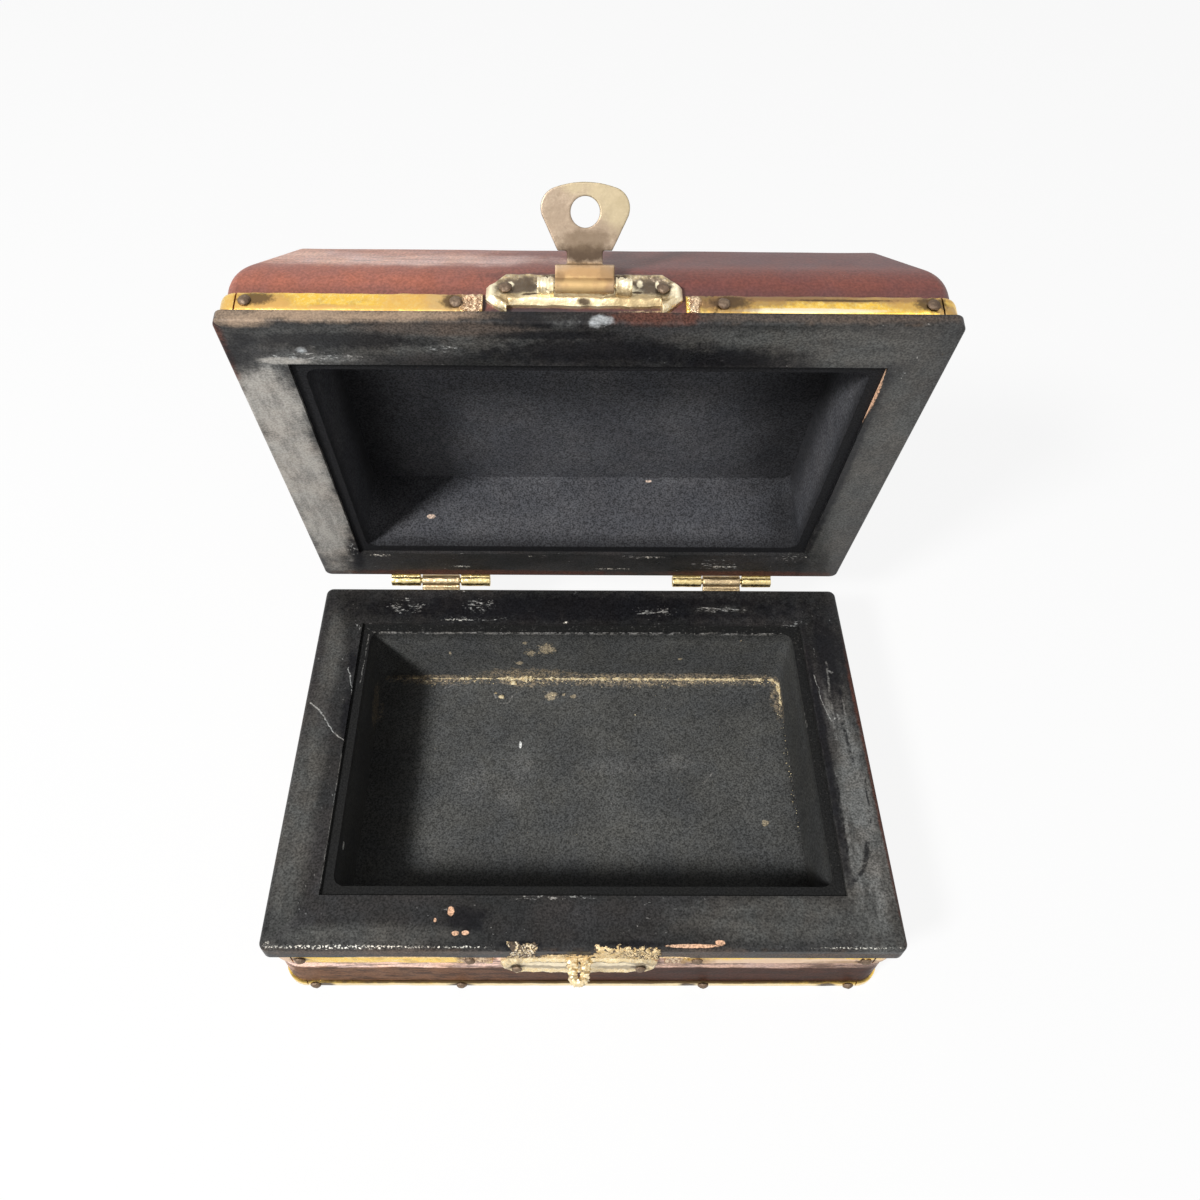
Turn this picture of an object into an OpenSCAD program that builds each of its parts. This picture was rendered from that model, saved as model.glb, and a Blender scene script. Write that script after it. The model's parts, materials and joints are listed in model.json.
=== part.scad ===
// Trinket box with a hinged lid and a hasp, drawn with the lid open and the hasp strap raised.
// Millimetres, +Z up. The origin is the centre of the base's underside, +X is to the right seen
// from the front, and the front of the box faces -Y. Lid parts are drawn shut, with z = 0 at the
// lid's rim, and are then turned open about the hinge pins.

/* [Box] */
// Width of the box across its rims
box_w = 131; // [120:1:150]
// Depth of the box across its rims, front to back
box_d = 93.8; // [84:0.2:110]
// Height of the base
base_h = 24.4; // [22:0.2:34]
// Height of the lid
lid_h = 26.2; // [25:0.2:34]
// Gap between the two rims when the lid is shut
rim_gap = 0.3; // [0.2:0.1:0.6]
// Corner radius of the rims, seen from above
rim_r = 1.8; // [1.6:0.2:4]

/* [Pose] */
// Angle of the open lid from shut
lid_open = 77.5; // [0:0.5:77.5]
// Angle of the hasp strap from hanging shut
hasp_raise = 134; // [0:1:170]

/* [Wood] */
// Rim width of the side walls
side_wall = 10.6; // [8:0.1:13]
// Rim width of the front walls
front_wall = 11.4; // [8:0.1:13]
// Rim width of the back walls
back_wall = 11.4; // [8:0.1:13]
// Thickness of the bottom board
bottom_t = 2.2; // [1.6:0.2:4]
// Thickness of the lid's top board
top_t = 3.6; // [2.6:0.1:4]
// Width of the rebate that holds the bottom board
rebate = 3; // [2:0.5:4]
// Height of the black rim that shows on the outside of the base
base_lip = 4.4; // [3:0.1:6]
// Height of the black rim that shows on the outside of the lid
lid_lip = 2.4; // [2:0.1:3]
// Rounding of the base rim's outer edge
base_round = 1; // [0.6:0.1:1.4]
// Rounding of the lid rim's outer edge
lid_round = 0.5; // [0.3:0.1:1.2]

/* [Covering and linings] */
// How far the covered panels stand in from the rims
panel_step = 1; // [0.9:0.1:1.5]
// Thickness of the covering
cover_t = 0.5; // [0.3:0.1:0.8]
// Corner radius of the base's covered panels
panel_r = 4.5; // [3:0.5:6]
// Corner radius of the lid's covered panels
lid_r = 2.5; // [2:0.5:4]
// Thickness of the linings' sides
lining_t = 2.3; // [1:0.1:3]
// Thickness of the base lining's floor and the lid lining's ceiling
lining_floor = 1; // [0.6:0.1:1.6]
// How far the linings stop below the rims
lining_drop = 0.8; // [0.4:0.1:1.5]
// Radius of the linings' upright inner corners
lining_r = 2.5; // [1:0.5:4]

/* [Lid shape] */
// Height above the rim at which the lid's panels begin to lean in
shoulder_h = 9; // [8:0.5:11]
// Radius of the lid's shoulders
shoulder_r = 13; // [10:0.5:16]
// Lean of the lid's panels from upright
lean = 31; // [20:1:36]
// Rounding around the lid's top
top_r = 1.6; // [1:0.1:2.5]

/* [Brass bands] */
// Height of the bands along the rims
band_h = 4.4; // [4:0.1:5.4]
// Thickness of the bands along the rims
band_t = 0.8; // [0.5:0.1:0.9]
// Height of the band around the foot
foot_h = 2.4; // [2:0.1:4]
// Thickness of the band around the foot
foot_t = 0.5; // [0.4:0.1:0.8]
// Height of the foot band above the underside
foot_z = 0.3; // [0.2:0.1:1]
// Gap between neighbouring strips of band
strip_gap = 0.3; // [0.1:0.1:0.6]
// Diameter of the nail heads
nail_d = 2.4; // [1.6:0.1:2.6]
// Height of the nail heads
nail_h = 0.8; // [0.5:0.1:1.2]
// Diameter of the nail shanks
nail_shank = 0.9; // [0.6:0.1:1.2]
// Length of the nail shanks
nail_l = 5; // [3:0.5:6]
// Gap around each shank, pin end and staple leg in its hole
shank_clear = 0.02; // [0.01:0.01:0.05]
// How far the nail and screw holes run on past the points
tip_gap = 0.2; // [0.1:0.1:0.5]
// Distance of the outer nails from the ends of the front and back strips
nail_edge = 1.5; // [1.3:0.1:6]
// Distance of the inner rim nails from the box's middle
nail_near = 23.4; // [20:0.2:30]
// Distance of the inner foot nails from the box's middle
foot_nail_near = 26.4; // [15:0.2:35]
// Distance of the side nails from the box's middle
nail_side = 30; // [15:0.5:38]

/* [Hinges] */
// Distance of each hinge's middle from the end of the box beside it
hinge_end = 29.2; // [24:0.2:34]
// Length of a hinge
hinge_l = 25.4; // [20:0.2:30]
// Length of the base leaf's knuckle in the middle of a hinge
hinge_mid = 9.6; // [6:0.2:12]
// Gap between neighbouring knuckles
knuckle_gap = 0.4; // [0.2:0.1:0.6]
// Height of a hinge leaf
leaf_h = 9.5; // [8:0.1:12]
// Thickness of a hinge leaf
leaf_t = 0.6; // [0.5:0.1:1]
// Outer radius of the hinge knuckles
knuckle_r = 1.5; // [1.35:0.05:1.9]
// Gap between the hinge knuckles and the leaves' outer faces
hinge_off = 0.4; // [0.3:0.1:1.2]
// Gap between each rim and the edge of the leaf beside it
leaf_gap = 0.6; // [0.3:0.1:1.2]
// Depth of the notch in a leaf behind the other leaf's knuckles
leaf_notch = 1.4; // [1:0.1:2]
// Radius of the hinge pins
pin_r = 0.7; // [0.5:0.05:0.9]
// Running gap around a pin in a knuckle
pin_clear = 0.05; // [0.02:0.01:0.1]
// Distance of a hinge screw from the hinge's middle
screw_x = 8; // [5:0.5:9]
// Diameter of the hinge screw heads
screw_d = 2.8; // [2:0.1:3.4]
// Diameter of the hinge screw shanks
screw_shank = 1.2; // [0.8:0.1:1.6]
// Length of the hinge screws under the head
screw_l = 7.5; // [5:0.5:8]

/* [Hasp] */
// Offset of the hasp from the box's middle, to the left
hasp_off = 1; // [0:0.1:3]
// Width of the lid's hasp plate
lid_plate_w = 34.4; // [30:0.2:38]
// Height of the lid's hasp plate
lid_plate_h = 8.6; // [7.8:0.1:9.2]
// Width of the base's staple plate
base_plate_w = 32.4; // [26:0.2:38]
// Height of the base's staple plate
base_plate_h = 7.6; // [6:0.1:9]
// Gap between each black rim and the hasp's plate beside it
plate_gap = 0.1; // [0.1:0.05:0.3]
// Length of the cut along the lower edge of the lid's hasp plate
mouth_w = 27; // [20:0.5:29]
// Height of the cut along the lower edge of the lid's hasp plate
mouth_h = 1.2; // [0.5:0.1:1.5]
// Thickness of both plates
plate_t = 1.5; // [1:0.1:2]
// Width of the slope around each plate
plate_slope = 0.9; // [0.5:0.1:1.4]
// Height of the hasp's pivot above the lid's rim
pivot_z = 6.4; // [6:0.1:7]
// Outer radius of the hasp's knuckles
hasp_knuckle_r = 1.3; // [1.2:0.05:1.6]
// Radius of the hasp pin
hasp_pin_r = 0.5; // [0.4:0.05:0.7]
// Gap between the strap's knuckle and the plate behind it
hasp_gap = 0.25; // [0.2:0.05:0.5]
// Length of the strap from its pivot to its tip
strap_l = 16.6; // [15.8:0.2:22]
// Thickness of the strap
strap_t = 0.8; // [0.6:0.1:1]
// Width of the strap's rolled root
root_w = 10.3; // [8:0.1:12]
// Length of the strap's rolled root below the pivot
root_l = 3.5; // [2.6:0.1:4]
// Width of the strap's neck
neck_w = 6.2; // [5:0.1:8]
// Length of the strap's neck
neck_l = 2.2; // [1:0.1:3]
// Width of the strap's head where it leaves the neck
head_low_w = 9.4; // [8:0.1:11]
// Greatest width of the strap's head
head_w = 15.2; // [13:0.1:18]
// Radius of the corners at the strap's tip
corner_r = 3.4; // [2:0.1:4.5]
// Radius of the arc across the strap's tip
tip_r = 16; // [12:0.5:24]
// Distance from the pivot to the hole in the strap
hole_at = 11.9; // [11.8:0.1:12.5]
// Diameter of the hole in the strap
hole_d = 5; // [4.8:0.1:5.6]
// Length of a fixed knuckle on the lid's hasp plate
lug_l = 2.8; // [2:0.1:4]
// Gap between the strap's root and each fixed knuckle
lug_gap = 0.25; // [0.1:0.05:0.4]
// Distance of the plates' nails from the plates' ends
plate_nail_in = 3.4; // [2.6:0.1:5]
// Height of the nails above the lid plate's lower edge
lid_plate_nail_up = 4.8; // [3.4:0.1:6]
// Height of the nails above the staple plate's lower edge
base_plate_nail_up = 2.8; // [2.2:0.1:4]
// Gap between the hasp's plate and the bands beside it
strip_end_gap = 0.6; // [0.2:0.1:1.5]
// Depth of the staple's legs in the front wall
staple_l = 4; // [3:0.5:6]
// Reach of the staple in front of the rim
staple_out = 5.7; // [5.4:0.1:7]
// Thickness of the staple's wire
staple_wire = 1.1; // [0.9:0.1:1.2]
// Width of the staple
staple_w = 4.2; // [3.4:0.1:4.2]

/* [Hidden] */
$fn = 64;
slip = 0.01;
hasp_x = -hasp_off;
lid_plate_z = lid_lip + plate_gap;
panel_in = panel_step + cover_t;
panel_w = box_w - 2 * panel_step;
panel_d = box_d - 2 * panel_step;
wall_top = lid_h - cover_t - top_t;
open_x = box_w / 2 - side_wall;
open_front = -box_d / 2 + front_wall;
open_back = box_d / 2 - back_wall;
pin_y = box_d / 2 + leaf_t + hinge_off + knuckle_r;
pin_z = base_h + rim_gap / 2;
hinge_x = box_w / 2 - hinge_end;
base_band_z = base_h - base_lip - band_h;
lid_band_z = lid_lip;
base_nail_z = base_band_z + band_h / 2;
lid_nail_z = lid_band_z + band_h / 2;
foot_nail_z = foot_z + foot_h / 2;
strip_end = lid_plate_w / 2 + strip_end_gap;
plate_face = box_d / 2 - panel_step + plate_t;
pivot_y = -(plate_face + hasp_gap + hasp_knuckle_r);
base_plate_top = base_h - base_lip - plate_gap;
base_plate_z = base_plate_top - base_plate_h;
base_plate_nail_z = base_plate_z + base_plate_nail_up;
base_plate_nail_x = base_plate_w / 2 - plate_nail_in;
lid_plate_nail_z = lid_plate_z + lid_plate_nail_up;
lid_plate_nail_x = lid_plate_w / 2 - plate_nail_in;
lug_x = root_w / 2 + lug_gap;
staple_leg = (staple_w - staple_wire) / 2;
staple_root = -box_d / 2 + panel_step + staple_l;
staple_z = pin_z + rim_gap / 2 + pivot_z - hole_at;

wood = [0.1, 0.09, 0.09];
leather = [0.42, 0.17, 0.15];
lacquer = [0.12, 0.12, 0.13];
brass = [0.86, 0.66, 0.24];
old_brass = [0.7, 0.6, 0.4];
dark_brass = [0.36, 0.26, 0.18];

// Turns a lid part from shut to open about the hinge pins
module in_lid() {
    translate([0, pin_y, pin_z]) rotate([-lid_open, 0, 0])
        translate([0, -pin_y, base_h + rim_gap - pin_z]) children();
}

// Turns the strap, drawn hanging with its pivot at the origin, up to its raised place
module in_hasp() {
    in_lid() translate([hasp_x, pivot_y, pivot_z]) rotate([-hasp_raise, 0, 0]) children();
}

// Block with rounded upright corners, standing on z = 0
module block(w, d, h, r) {
    translate([r - w / 2, -d / 2, 0]) cube([w - 2 * r, d, h]);
    translate([-w / 2, r - d / 2, 0]) cube([w, d - 2 * r, h]);
    for (x = [-1, 1], y = [-1, 1])
        translate([x * (w / 2 - r), y * (d / 2 - r), 0]) cylinder(h = h, r = r);
}

// Section of a rounded upper edge, reach from the middle, h high and rounded by e
function nose(reach, h, e) = [for (a = [0 : 15 : 90]) [reach - e + e * cos(a), h - e + e * sin(a)]];

// Section of a block with both its upper edges rounded
function nose_pair(reach, h, e) = concat(
    [[-reach, 0], [reach, 0]], nose(reach, h, e),
    [for (a = [90 : -15 : 0]) [e - reach - e * cos(a), h - e + e * sin(a)]]);

// The same block with its upper edge rounded by e
module rounded_block(w, d, h, r, e) {
    translate([r - w / 2, 0, 0]) rotate([90, 0, 90])
        linear_extrude(w - 2 * r) polygon(nose_pair(d / 2, h, e));
    translate([0, d / 2 - r, 0]) rotate([90, 0, 0])
        linear_extrude(d - 2 * r) polygon(nose_pair(w / 2, h, e));
    for (x = [-1, 1], y = [-1, 1])
        translate([x * (w / 2 - r), y * (d / 2 - r), 0])
            rotate_extrude() polygon(concat([[0, 0], [r, 0]], nose(r, h, e), [[0, h]]));
}

// Closed skin through rings of points that all have the same count
module loft(rings) {
    n = len(rings[0]);
    m = len(rings);
    sides = [for (j = [0 : m - 2], s = [0 : n - 1]) let (t = (s + 1) % n)
        each [[j * n + s, (j + 1) * n + s, (j + 1) * n + t], [j * n + s, (j + 1) * n + t, j * n + t]]];
    polyhedron(
        points = [for (ring = rings, p = ring) p],
        faces = concat([[for (s = [0 : n - 1]) s]], sides, [[for (s = [n - 1 : -1 : 0]) (m - 1) * n + s]]));
}

// Rounded rectangle of points at height z, drawn in by inset from the rim
function ring(inset, z, r, steps) = [for (c = [0 : 3], s = [0 : steps])
    let (a = (c + s / steps) * 90, sx = c == 0 || c == 3 ? 1 : -1, sy = c < 2 ? 1 : -1)
    [sx * (box_w / 2 - inset - r) + r * cos(a), sy * (box_d / 2 - inset - r) + r * sin(a), z]];

// Side of the lid as [inset, height], a distance t under the covering's face
function lid_side(t) = let (
    low_z = shoulder_h + shoulder_r * sin(lean),
    low_in = panel_step + shoulder_r * (1 - cos(lean)),
    top_z = lid_h - top_r,
    top_in = low_in + (top_z + top_r * sin(lean) - low_z) * tan(lean) + top_r * cos(lean))
    concat(
        [for (a = [0 : lean / 4 : lean])
            [panel_step + shoulder_r - (shoulder_r - t) * cos(a), shoulder_h + (shoulder_r - t) * sin(a)]],
        [for (a = [lean : (90 - lean) / 3 : 90.01])
            [top_in - (top_r - t) * cos(a), top_z + (top_r - t) * sin(a)]]);

// Outer form of the lid above its rim, a distance t under the covering's face, from height z0 up
module lid_form(t, z0) {
    loft(concat([ring(panel_step + t, z0, lid_r - t, 6)],
        [for (p = lid_side(t)) ring(p[0], p[1], lid_r - t, 6)]));
}

// The inside of the four walls, from z = 0 up
module opening(h) {
    translate([-open_x, open_front, 0]) cube([2 * open_x, open_back - open_front, h]);
}

// Wedge of the box between two mitres: 0 front, 1 back, 2 left, 3 right
module mitre(side) {
    x = box_w / 2;
    y = box_d / 2;
    outer = [[[-x, -y], [x, -y]], [[x, y], [-x, y]], [[-x, y], [-x, -y]], [[x, -y], [x, y]]];
    inner = [
        [[open_x, open_front], [-open_x, open_front]],
        [[-open_x, open_back], [open_x, open_back]],
        [[-open_x, open_front], [-open_x, open_back]],
        [[open_x, open_back], [open_x, open_front]]];
    linear_extrude(base_h + lid_h) polygon(concat(outer[side], inner[side]));
}

// Hole for a shank of diameter d, along Y from y0 to y1
module shank_y(x, y0, y1, z, d) {
    translate([x, y1, z]) rotate([90, 0, 0]) cylinder(h = y1 - y0, d = d + 2 * shank_clear);
}

// The same along X, from x0 to x1
module shank_x(x0, x1, y, z, d) {
    translate([x0, y, z]) rotate([0, 90, 0]) cylinder(h = x1 - x0, d = d + 2 * shank_clear);
}

// Holes for the nails of a band at height z, whose outer face stands in by face and whose corners
// have radius r
module band_holes(z, r, near, face) {
    reach = face + nail_l + tip_gap;
    far = strip_reach(r) - nail_edge;
    for (x = [-far, -near, near, far])
        shank_y(x, -box_d / 2 - 1, -box_d / 2 + reach, z, nail_shank);
    for (x = [-far, 0, far])
        shank_y(x, box_d / 2 - reach, box_d / 2 + 1, z, nail_shank);
    for (y = [-nail_side, nail_side]) {
        shank_x(-box_w / 2 - 1, -box_w / 2 + reach, y, z, nail_shank);
        shank_x(box_w / 2 - reach, box_w / 2 + 1, y, z, nail_shank);
    }
}

module screw_holes(z) {
    for (c = [-hinge_x, hinge_x], x = [-screw_x, screw_x])
        shank_y(c + x, box_d / 2 + leaf_t - screw_l - tip_gap, box_d / 2 + leaf_t + 1, z, screw_shank);
}

module plate_nail_holes(x, z) {
    for (s = [-x, x])
        shank_y(hasp_x + s, -plate_face - 1, -plate_face + nail_l + tip_gap, z, nail_shank);
}

module staple_holes() {
    for (s = [-staple_leg, staple_leg])
        shank_y(hasp_x + s, -plate_face - 1, staple_root + tip_gap, staple_z, staple_wire);
}

module base_holes() {
    band_holes(base_nail_z, panel_r, nail_near, panel_step - band_t);
    band_holes(foot_nail_z, panel_r, foot_nail_near, panel_step - foot_t);
    screw_holes(base_nail_z);
    plate_nail_holes(base_plate_nail_x, base_plate_nail_z);
    staple_holes();
}

module lid_holes() {
    band_holes(lid_nail_z, lid_r, nail_near, panel_step - band_t);
    screw_holes(lid_nail_z);
    plate_nail_holes(lid_plate_nail_x, lid_plate_nail_z);
}

// Base
module base_wall(side) {
    color(wood) difference() {
        intersection() {
            union() {
                block(box_w - 2 * panel_in, box_d - 2 * panel_in, base_h - base_lip + 1, panel_r - cover_t);
                translate([0, 0, base_h - base_lip])
                    rounded_block(box_w, box_d, base_lip, rim_r, base_round);
            }
            mitre(side);
        }
        translate([-open_x - rebate, open_front - rebate, -1])
            cube([2 * (open_x + rebate), open_back - open_front + 2 * rebate, bottom_t + 1]);
        base_holes();
    }
}

module base_bottom() {
    color(wood) translate([-open_x - rebate, open_front - rebate, 0])
        cube([2 * (open_x + rebate), open_back - open_front + 2 * rebate, bottom_t]);
}

// Space inside a lining, from z = 0 up
module lining_room(h) {
    w = 2 * (open_x - lining_t);
    d = open_back - open_front - 2 * lining_t;
    translate([0, (open_front + open_back) / 2, 0]) block(w, d, h, lining_r);
}

module base_lining() {
    top = base_h - lining_drop;
    color(lacquer) difference() {
        translate([0, 0, bottom_t]) opening(top - bottom_t);
        translate([0, 0, bottom_t + lining_floor]) lining_room(base_h);
    }
}

module base_cover() {
    h = base_h - base_lip;
    color(leather) difference() {
        block(panel_w, panel_d, h, panel_r);
        translate([0, 0, -1]) block(box_w - 2 * panel_in, box_d - 2 * panel_in, h + 2, panel_r - cover_t);
        base_holes();
    }
}

// Section of a band: flat behind, softly domed in front, from z = 0 up
function band_section(t, h) = [
    [0, 0], [t * 0.5, 0], [t * 0.85, h * 0.08], [t, h * 0.2], [t, h * 0.8], [t * 0.85, h * 0.92],
    [t * 0.5, h], [0, h]];

// Strip of band along X, in front of (dir = -1) or behind (dir = 1) the panels
module strip_x(x0, x1, dir, t, h) {
    translate([x0, 0, 0]) rotate([90, 0, 90]) linear_extrude(x1 - x0)
        polygon([for (p = band_section(t, h)) [dir * (panel_d / 2 + p[0]), p[1]]]);
}

// Strip of band along one side and round both its corners, of radius r
module strip_side(dir, t, h, r) {
    run = panel_d / 2 - r;
    translate([0, run, 0]) rotate([90, 0, 0]) linear_extrude(2 * run)
        polygon([for (p = band_section(t, h)) [dir * (panel_w / 2 + p[0]), p[1]]]);
    for (y = [-1, 1])
        translate([dir * (panel_w / 2 - r), y * run, 0])
            rotate([0, 0, dir * y > 0 ? (dir > 0 ? 0 : 180) : (dir > 0 ? -90 : 90)])
                rotate_extrude(angle = 90) polygon([for (p = band_section(t, h)) [r + p[0], p[1]]]);
}

// Half length of the strips between two corners of radius r
function strip_reach(r) = panel_w / 2 - r - strip_gap;

// Half strip between a front corner of radius r and the hasp
module front_strip(dir, t, h, r) {
    x0 = dir < 0 ? -strip_reach(r) : hasp_x + strip_end;
    x1 = dir < 0 ? hasp_x - strip_end : strip_reach(r);
    strip_x(x0, x1, -1, t, h);
}

// Whole strip between two corners of radius r
module whole_strip(dir, t, h, r) {
    strip_x(-strip_reach(r), strip_reach(r), dir, t, h);
}

module base_band() {
    color(brass) difference() {
        translate([0, 0, base_band_z]) children();
        base_holes();
    }
}

module foot_band() {
    color(brass) difference() {
        translate([0, 0, foot_z]) children();
        base_holes();
    }
}

module lid_band() {
    in_lid() color(brass) difference() {
        translate([0, 0, lid_band_z]) children();
        lid_holes();
    }
}

// Dome-headed nail that points along +Y, with the underside of its head at y = 0
module nail(head_d, head_h, shank_d, shank_l) {
    rotate([90, 0, 0]) rotate_extrude()
        polygon(concat([[0, 0]], [for (a = [0 : 15 : 90]) [head_d / 2 * cos(a), head_h * sin(a)]]));
    rotate([-90, 0, 0]) translate([0, 0, -slip]) cylinder(h = shank_l + slip, d = shank_d);
}

module band_nail() {
    nail(nail_d, nail_h, nail_shank, nail_l);
}

// Nails of a band at height z, whose outer face stands in by face and whose corners have radius r
module band_nails(z, r, near, face) {
    far = strip_reach(r) - nail_edge;
    color(dark_brass) {
        for (x = [-far, -near, near, far]) translate([x, -box_d / 2 + face, z]) band_nail();
        for (x = [-far, 0, far]) translate([x, box_d / 2 - face, z]) rotate([0, 0, 180]) band_nail();
        for (s = [-1, 1], y = [-nail_side, nail_side])
            translate([s * (box_w / 2 - face), y, z]) rotate([0, 0, s * 90]) band_nail();
    }
}

module base_band_nails() {
    band_nails(base_nail_z, panel_r, nail_near, panel_step - band_t);
}

module foot_band_nails() {
    band_nails(foot_nail_z, panel_r, foot_nail_near, panel_step - foot_t);
}

// Long octagon of points with half slopes drawn in by inset, in the XZ plane at depth y
function octagon(w, h, inset, y) = let (
    x = w / 2 - inset, z = h / 2 - inset, cx = w * 0.1, cz = h * 0.36)
    [[x, y, cz - z], [x, y, z - cz], [x - cx, y, z], [cx - x, y, z],
     [-x, y, z - cz], [-x, y, cz - z], [cx - x, y, -z], [x - cx, y, -z]];

// Plate with sloping edges, its back on y = 0 and its face towards -Y, standing on z = 0
module plate(w, h) {
    translate([0, 0, h / 2]) loft([
        octagon(w, h, 0, 0),
        octagon(w, h, 0, -plate_t * 0.45),
        octagon(w, h, plate_slope, -plate_t)]);
}

module staple_plate() {
    color(old_brass) difference() {
        translate([hasp_x, -box_d / 2 + panel_step, base_plate_z]) plate(base_plate_w, base_plate_h);
        base_holes();
    }
}

module staple_plate_nails() {
    color(dark_brass) for (s = [-1, 1])
        translate([hasp_x + s * base_plate_nail_x, -plate_face, base_plate_nail_z]) band_nail();
}

module staple() {
    bend_y = -box_d / 2 - staple_out + staple_leg + staple_wire / 2;
    color(old_brass) translate([hasp_x, 0, staple_z]) {
        for (s = [-staple_leg, staple_leg])
            translate([s, staple_root, 0]) rotate([90, 0, 0])
                cylinder(h = staple_root - bend_y, d = staple_wire);
        translate([0, bend_y, 0]) rotate([0, 0, 180])
            rotate_extrude(angle = 180) translate([staple_leg, 0]) circle(d = staple_wire);
    }
}

// Hinges, drawn shut about the pin's axis at y = 0, z = 0 with the leaf below the axis
module leaf(own_mid) {
    in_y = -(knuckle_r + hinge_off + leaf_t);
    top = -rim_gap / 2 - leaf_gap;
    half_mid = hinge_mid / 2;
    side_l = (hinge_l - hinge_mid) / 2 - knuckle_gap;
    starts = own_mid ? [-half_mid] : [-hinge_l / 2, half_mid + knuckle_gap];
    lengths = own_mid ? [hinge_mid] : [side_l, side_l];
    others = own_mid ? [-hinge_l / 2 - 1, half_mid] : [-half_mid - knuckle_gap];
    other_l = own_mid ? side_l + knuckle_gap + 1 : hinge_mid + 2 * knuckle_gap;
    difference() {
        union() {
            difference() {
                translate([-hinge_l / 2, in_y, top - leaf_h]) cube([hinge_l, leaf_t, leaf_h]);
                for (x = others) translate([x, in_y - 1, top - leaf_notch]) cube([other_l, leaf_t + 2, 5]);
            }
            for (k = [0 : len(starts) - 1]) translate([starts[k], 0, 0]) rotate([90, 0, 90]) {
                cylinder(h = lengths[k], r = knuckle_r);
                linear_extrude(lengths[k]) polygon([
                    [in_y, top], [-knuckle_r * 0.55, -0.2], [-knuckle_r * 0.2, -knuckle_r * 0.9],
                    [in_y, top - leaf_notch - 0.8]]);
            }
        }
        translate([-hinge_l, 0, 0]) rotate([0, 90, 0]) cylinder(h = 2 * hinge_l, r = pin_r + pin_clear);
    }
}

module base_leaf(x) {
    color(brass) difference() {
        translate([x, pin_y, pin_z]) leaf(true);
        screw_holes(base_nail_z);
    }
}

module lid_leaf(x) {
    color(brass) in_lid() difference() {
        translate([x, pin_y, -rim_gap / 2]) mirror([0, 0, 1]) leaf(false);
        screw_holes(lid_nail_z);
    }
}

module hinge_pin(x) {
    color(old_brass) translate([x - hinge_l / 2, pin_y, pin_z])
        rotate([0, 90, 0]) cylinder(h = hinge_l, r = pin_r);
}

module hinge_screws(z) {
    color(old_brass) for (c = [-hinge_x, hinge_x], x = [-screw_x, screw_x])
        translate([c + x, box_d / 2 + leaf_t, z]) rotate([0, 0, 180])
            nail(screw_d, nail_h, screw_shank, screw_l);
}

// Lid
module lid_wall(side) {
    in_lid() color(wood) difference() {
        intersection() {
            union() {
                translate([0, 0, lid_lip]) mirror([0, 0, 1])
                    rounded_block(box_w, box_d, lid_lip, rim_r, lid_round);
                lid_form(cover_t, lid_lip - 1);
            }
            mitre(side);
            translate([-box_w, -box_d, 0]) cube([2 * box_w, 2 * box_d, wall_top]);
        }
        lid_holes();
    }
}

module lid_top_board() {
    in_lid() color(wood) intersection() {
        lid_form(cover_t, lid_lip);
        translate([-box_w, -box_d, wall_top]) cube([2 * box_w, 2 * box_d, lid_h]);
    }
}

module lid_lining() {
    in_lid() color(lacquer) difference() {
        translate([0, 0, lining_drop]) opening(wall_top - lining_drop);
        translate([0, 0, -1]) lining_room(wall_top - lining_floor + 1);
    }
}

module lid_cover() {
    in_lid() color(leather) difference() {
        lid_form(0, lid_lip);
        lid_form(cover_t, lid_lip - 1);
        lid_holes();
    }
}

module lid_band_nails() {
    in_lid() band_nails(lid_nail_z, lid_r, nail_near, panel_step - band_t);
}

// Hasp
module hasp_plate() {
    in_lid() color(old_brass) difference() {
        union() {
            translate([hasp_x, -box_d / 2 + panel_step, lid_plate_z]) plate(lid_plate_w, lid_plate_h);
            for (s = [-lug_x - lug_l, lug_x]) translate([hasp_x + s, pivot_y, pivot_z]) {
                rotate([0, 90, 0]) cylinder(h = lug_l, r = hasp_knuckle_r);
                translate([0, 0, -hasp_knuckle_r * 0.7])
                    cube([lug_l, hasp_knuckle_r + hasp_gap + 0.4, hasp_knuckle_r * 1.4]);
            }
        }
        translate([hasp_x - lid_plate_w, pivot_y, pivot_z]) rotate([0, 90, 0])
            cylinder(h = 2 * lid_plate_w, r = hasp_pin_r + pin_clear);
        translate([hasp_x - mouth_w / 2, -box_d, lid_plate_z - 1]) cube([mouth_w, box_d, mouth_h + 1]);
        lid_holes();
    }
}

module hasp_plate_nails() {
    in_lid() color(dark_brass) for (s = [-1, 1])
        translate([hasp_x + s * lid_plate_nail_x, -plate_face, lid_plate_nail_z]) band_nail();
}

module hasp_pin() {
    reach = lug_x + lug_l;
    in_lid() color(old_brass) translate([hasp_x - reach, pivot_y, pivot_z])
        rotate([0, 90, 0]) cylinder(h = 2 * reach, r = hasp_pin_r);
}

// Half of the strap's head: down the flank, round the wide corner and along the tip's arc
function head_half() = let (
    cx = head_w / 2 - corner_r,
    arc_z = tip_r - strap_l,
    turn = asin(cx / (tip_r - corner_r)),
    cz = arc_z - (tip_r - corner_r) * cos(turn))
    concat([[head_low_w / 2, -root_l - neck_l]],
        [for (a = [20 : (turn - 110) / 10 : turn - 90]) [cx + corner_r * cos(a), cz + corner_r * sin(a)]],
        [for (a = [turn * 0.8 : -turn / 5 : -0.01]) [tip_r * sin(a), arc_z - tip_r * cos(a)]]);

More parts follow.
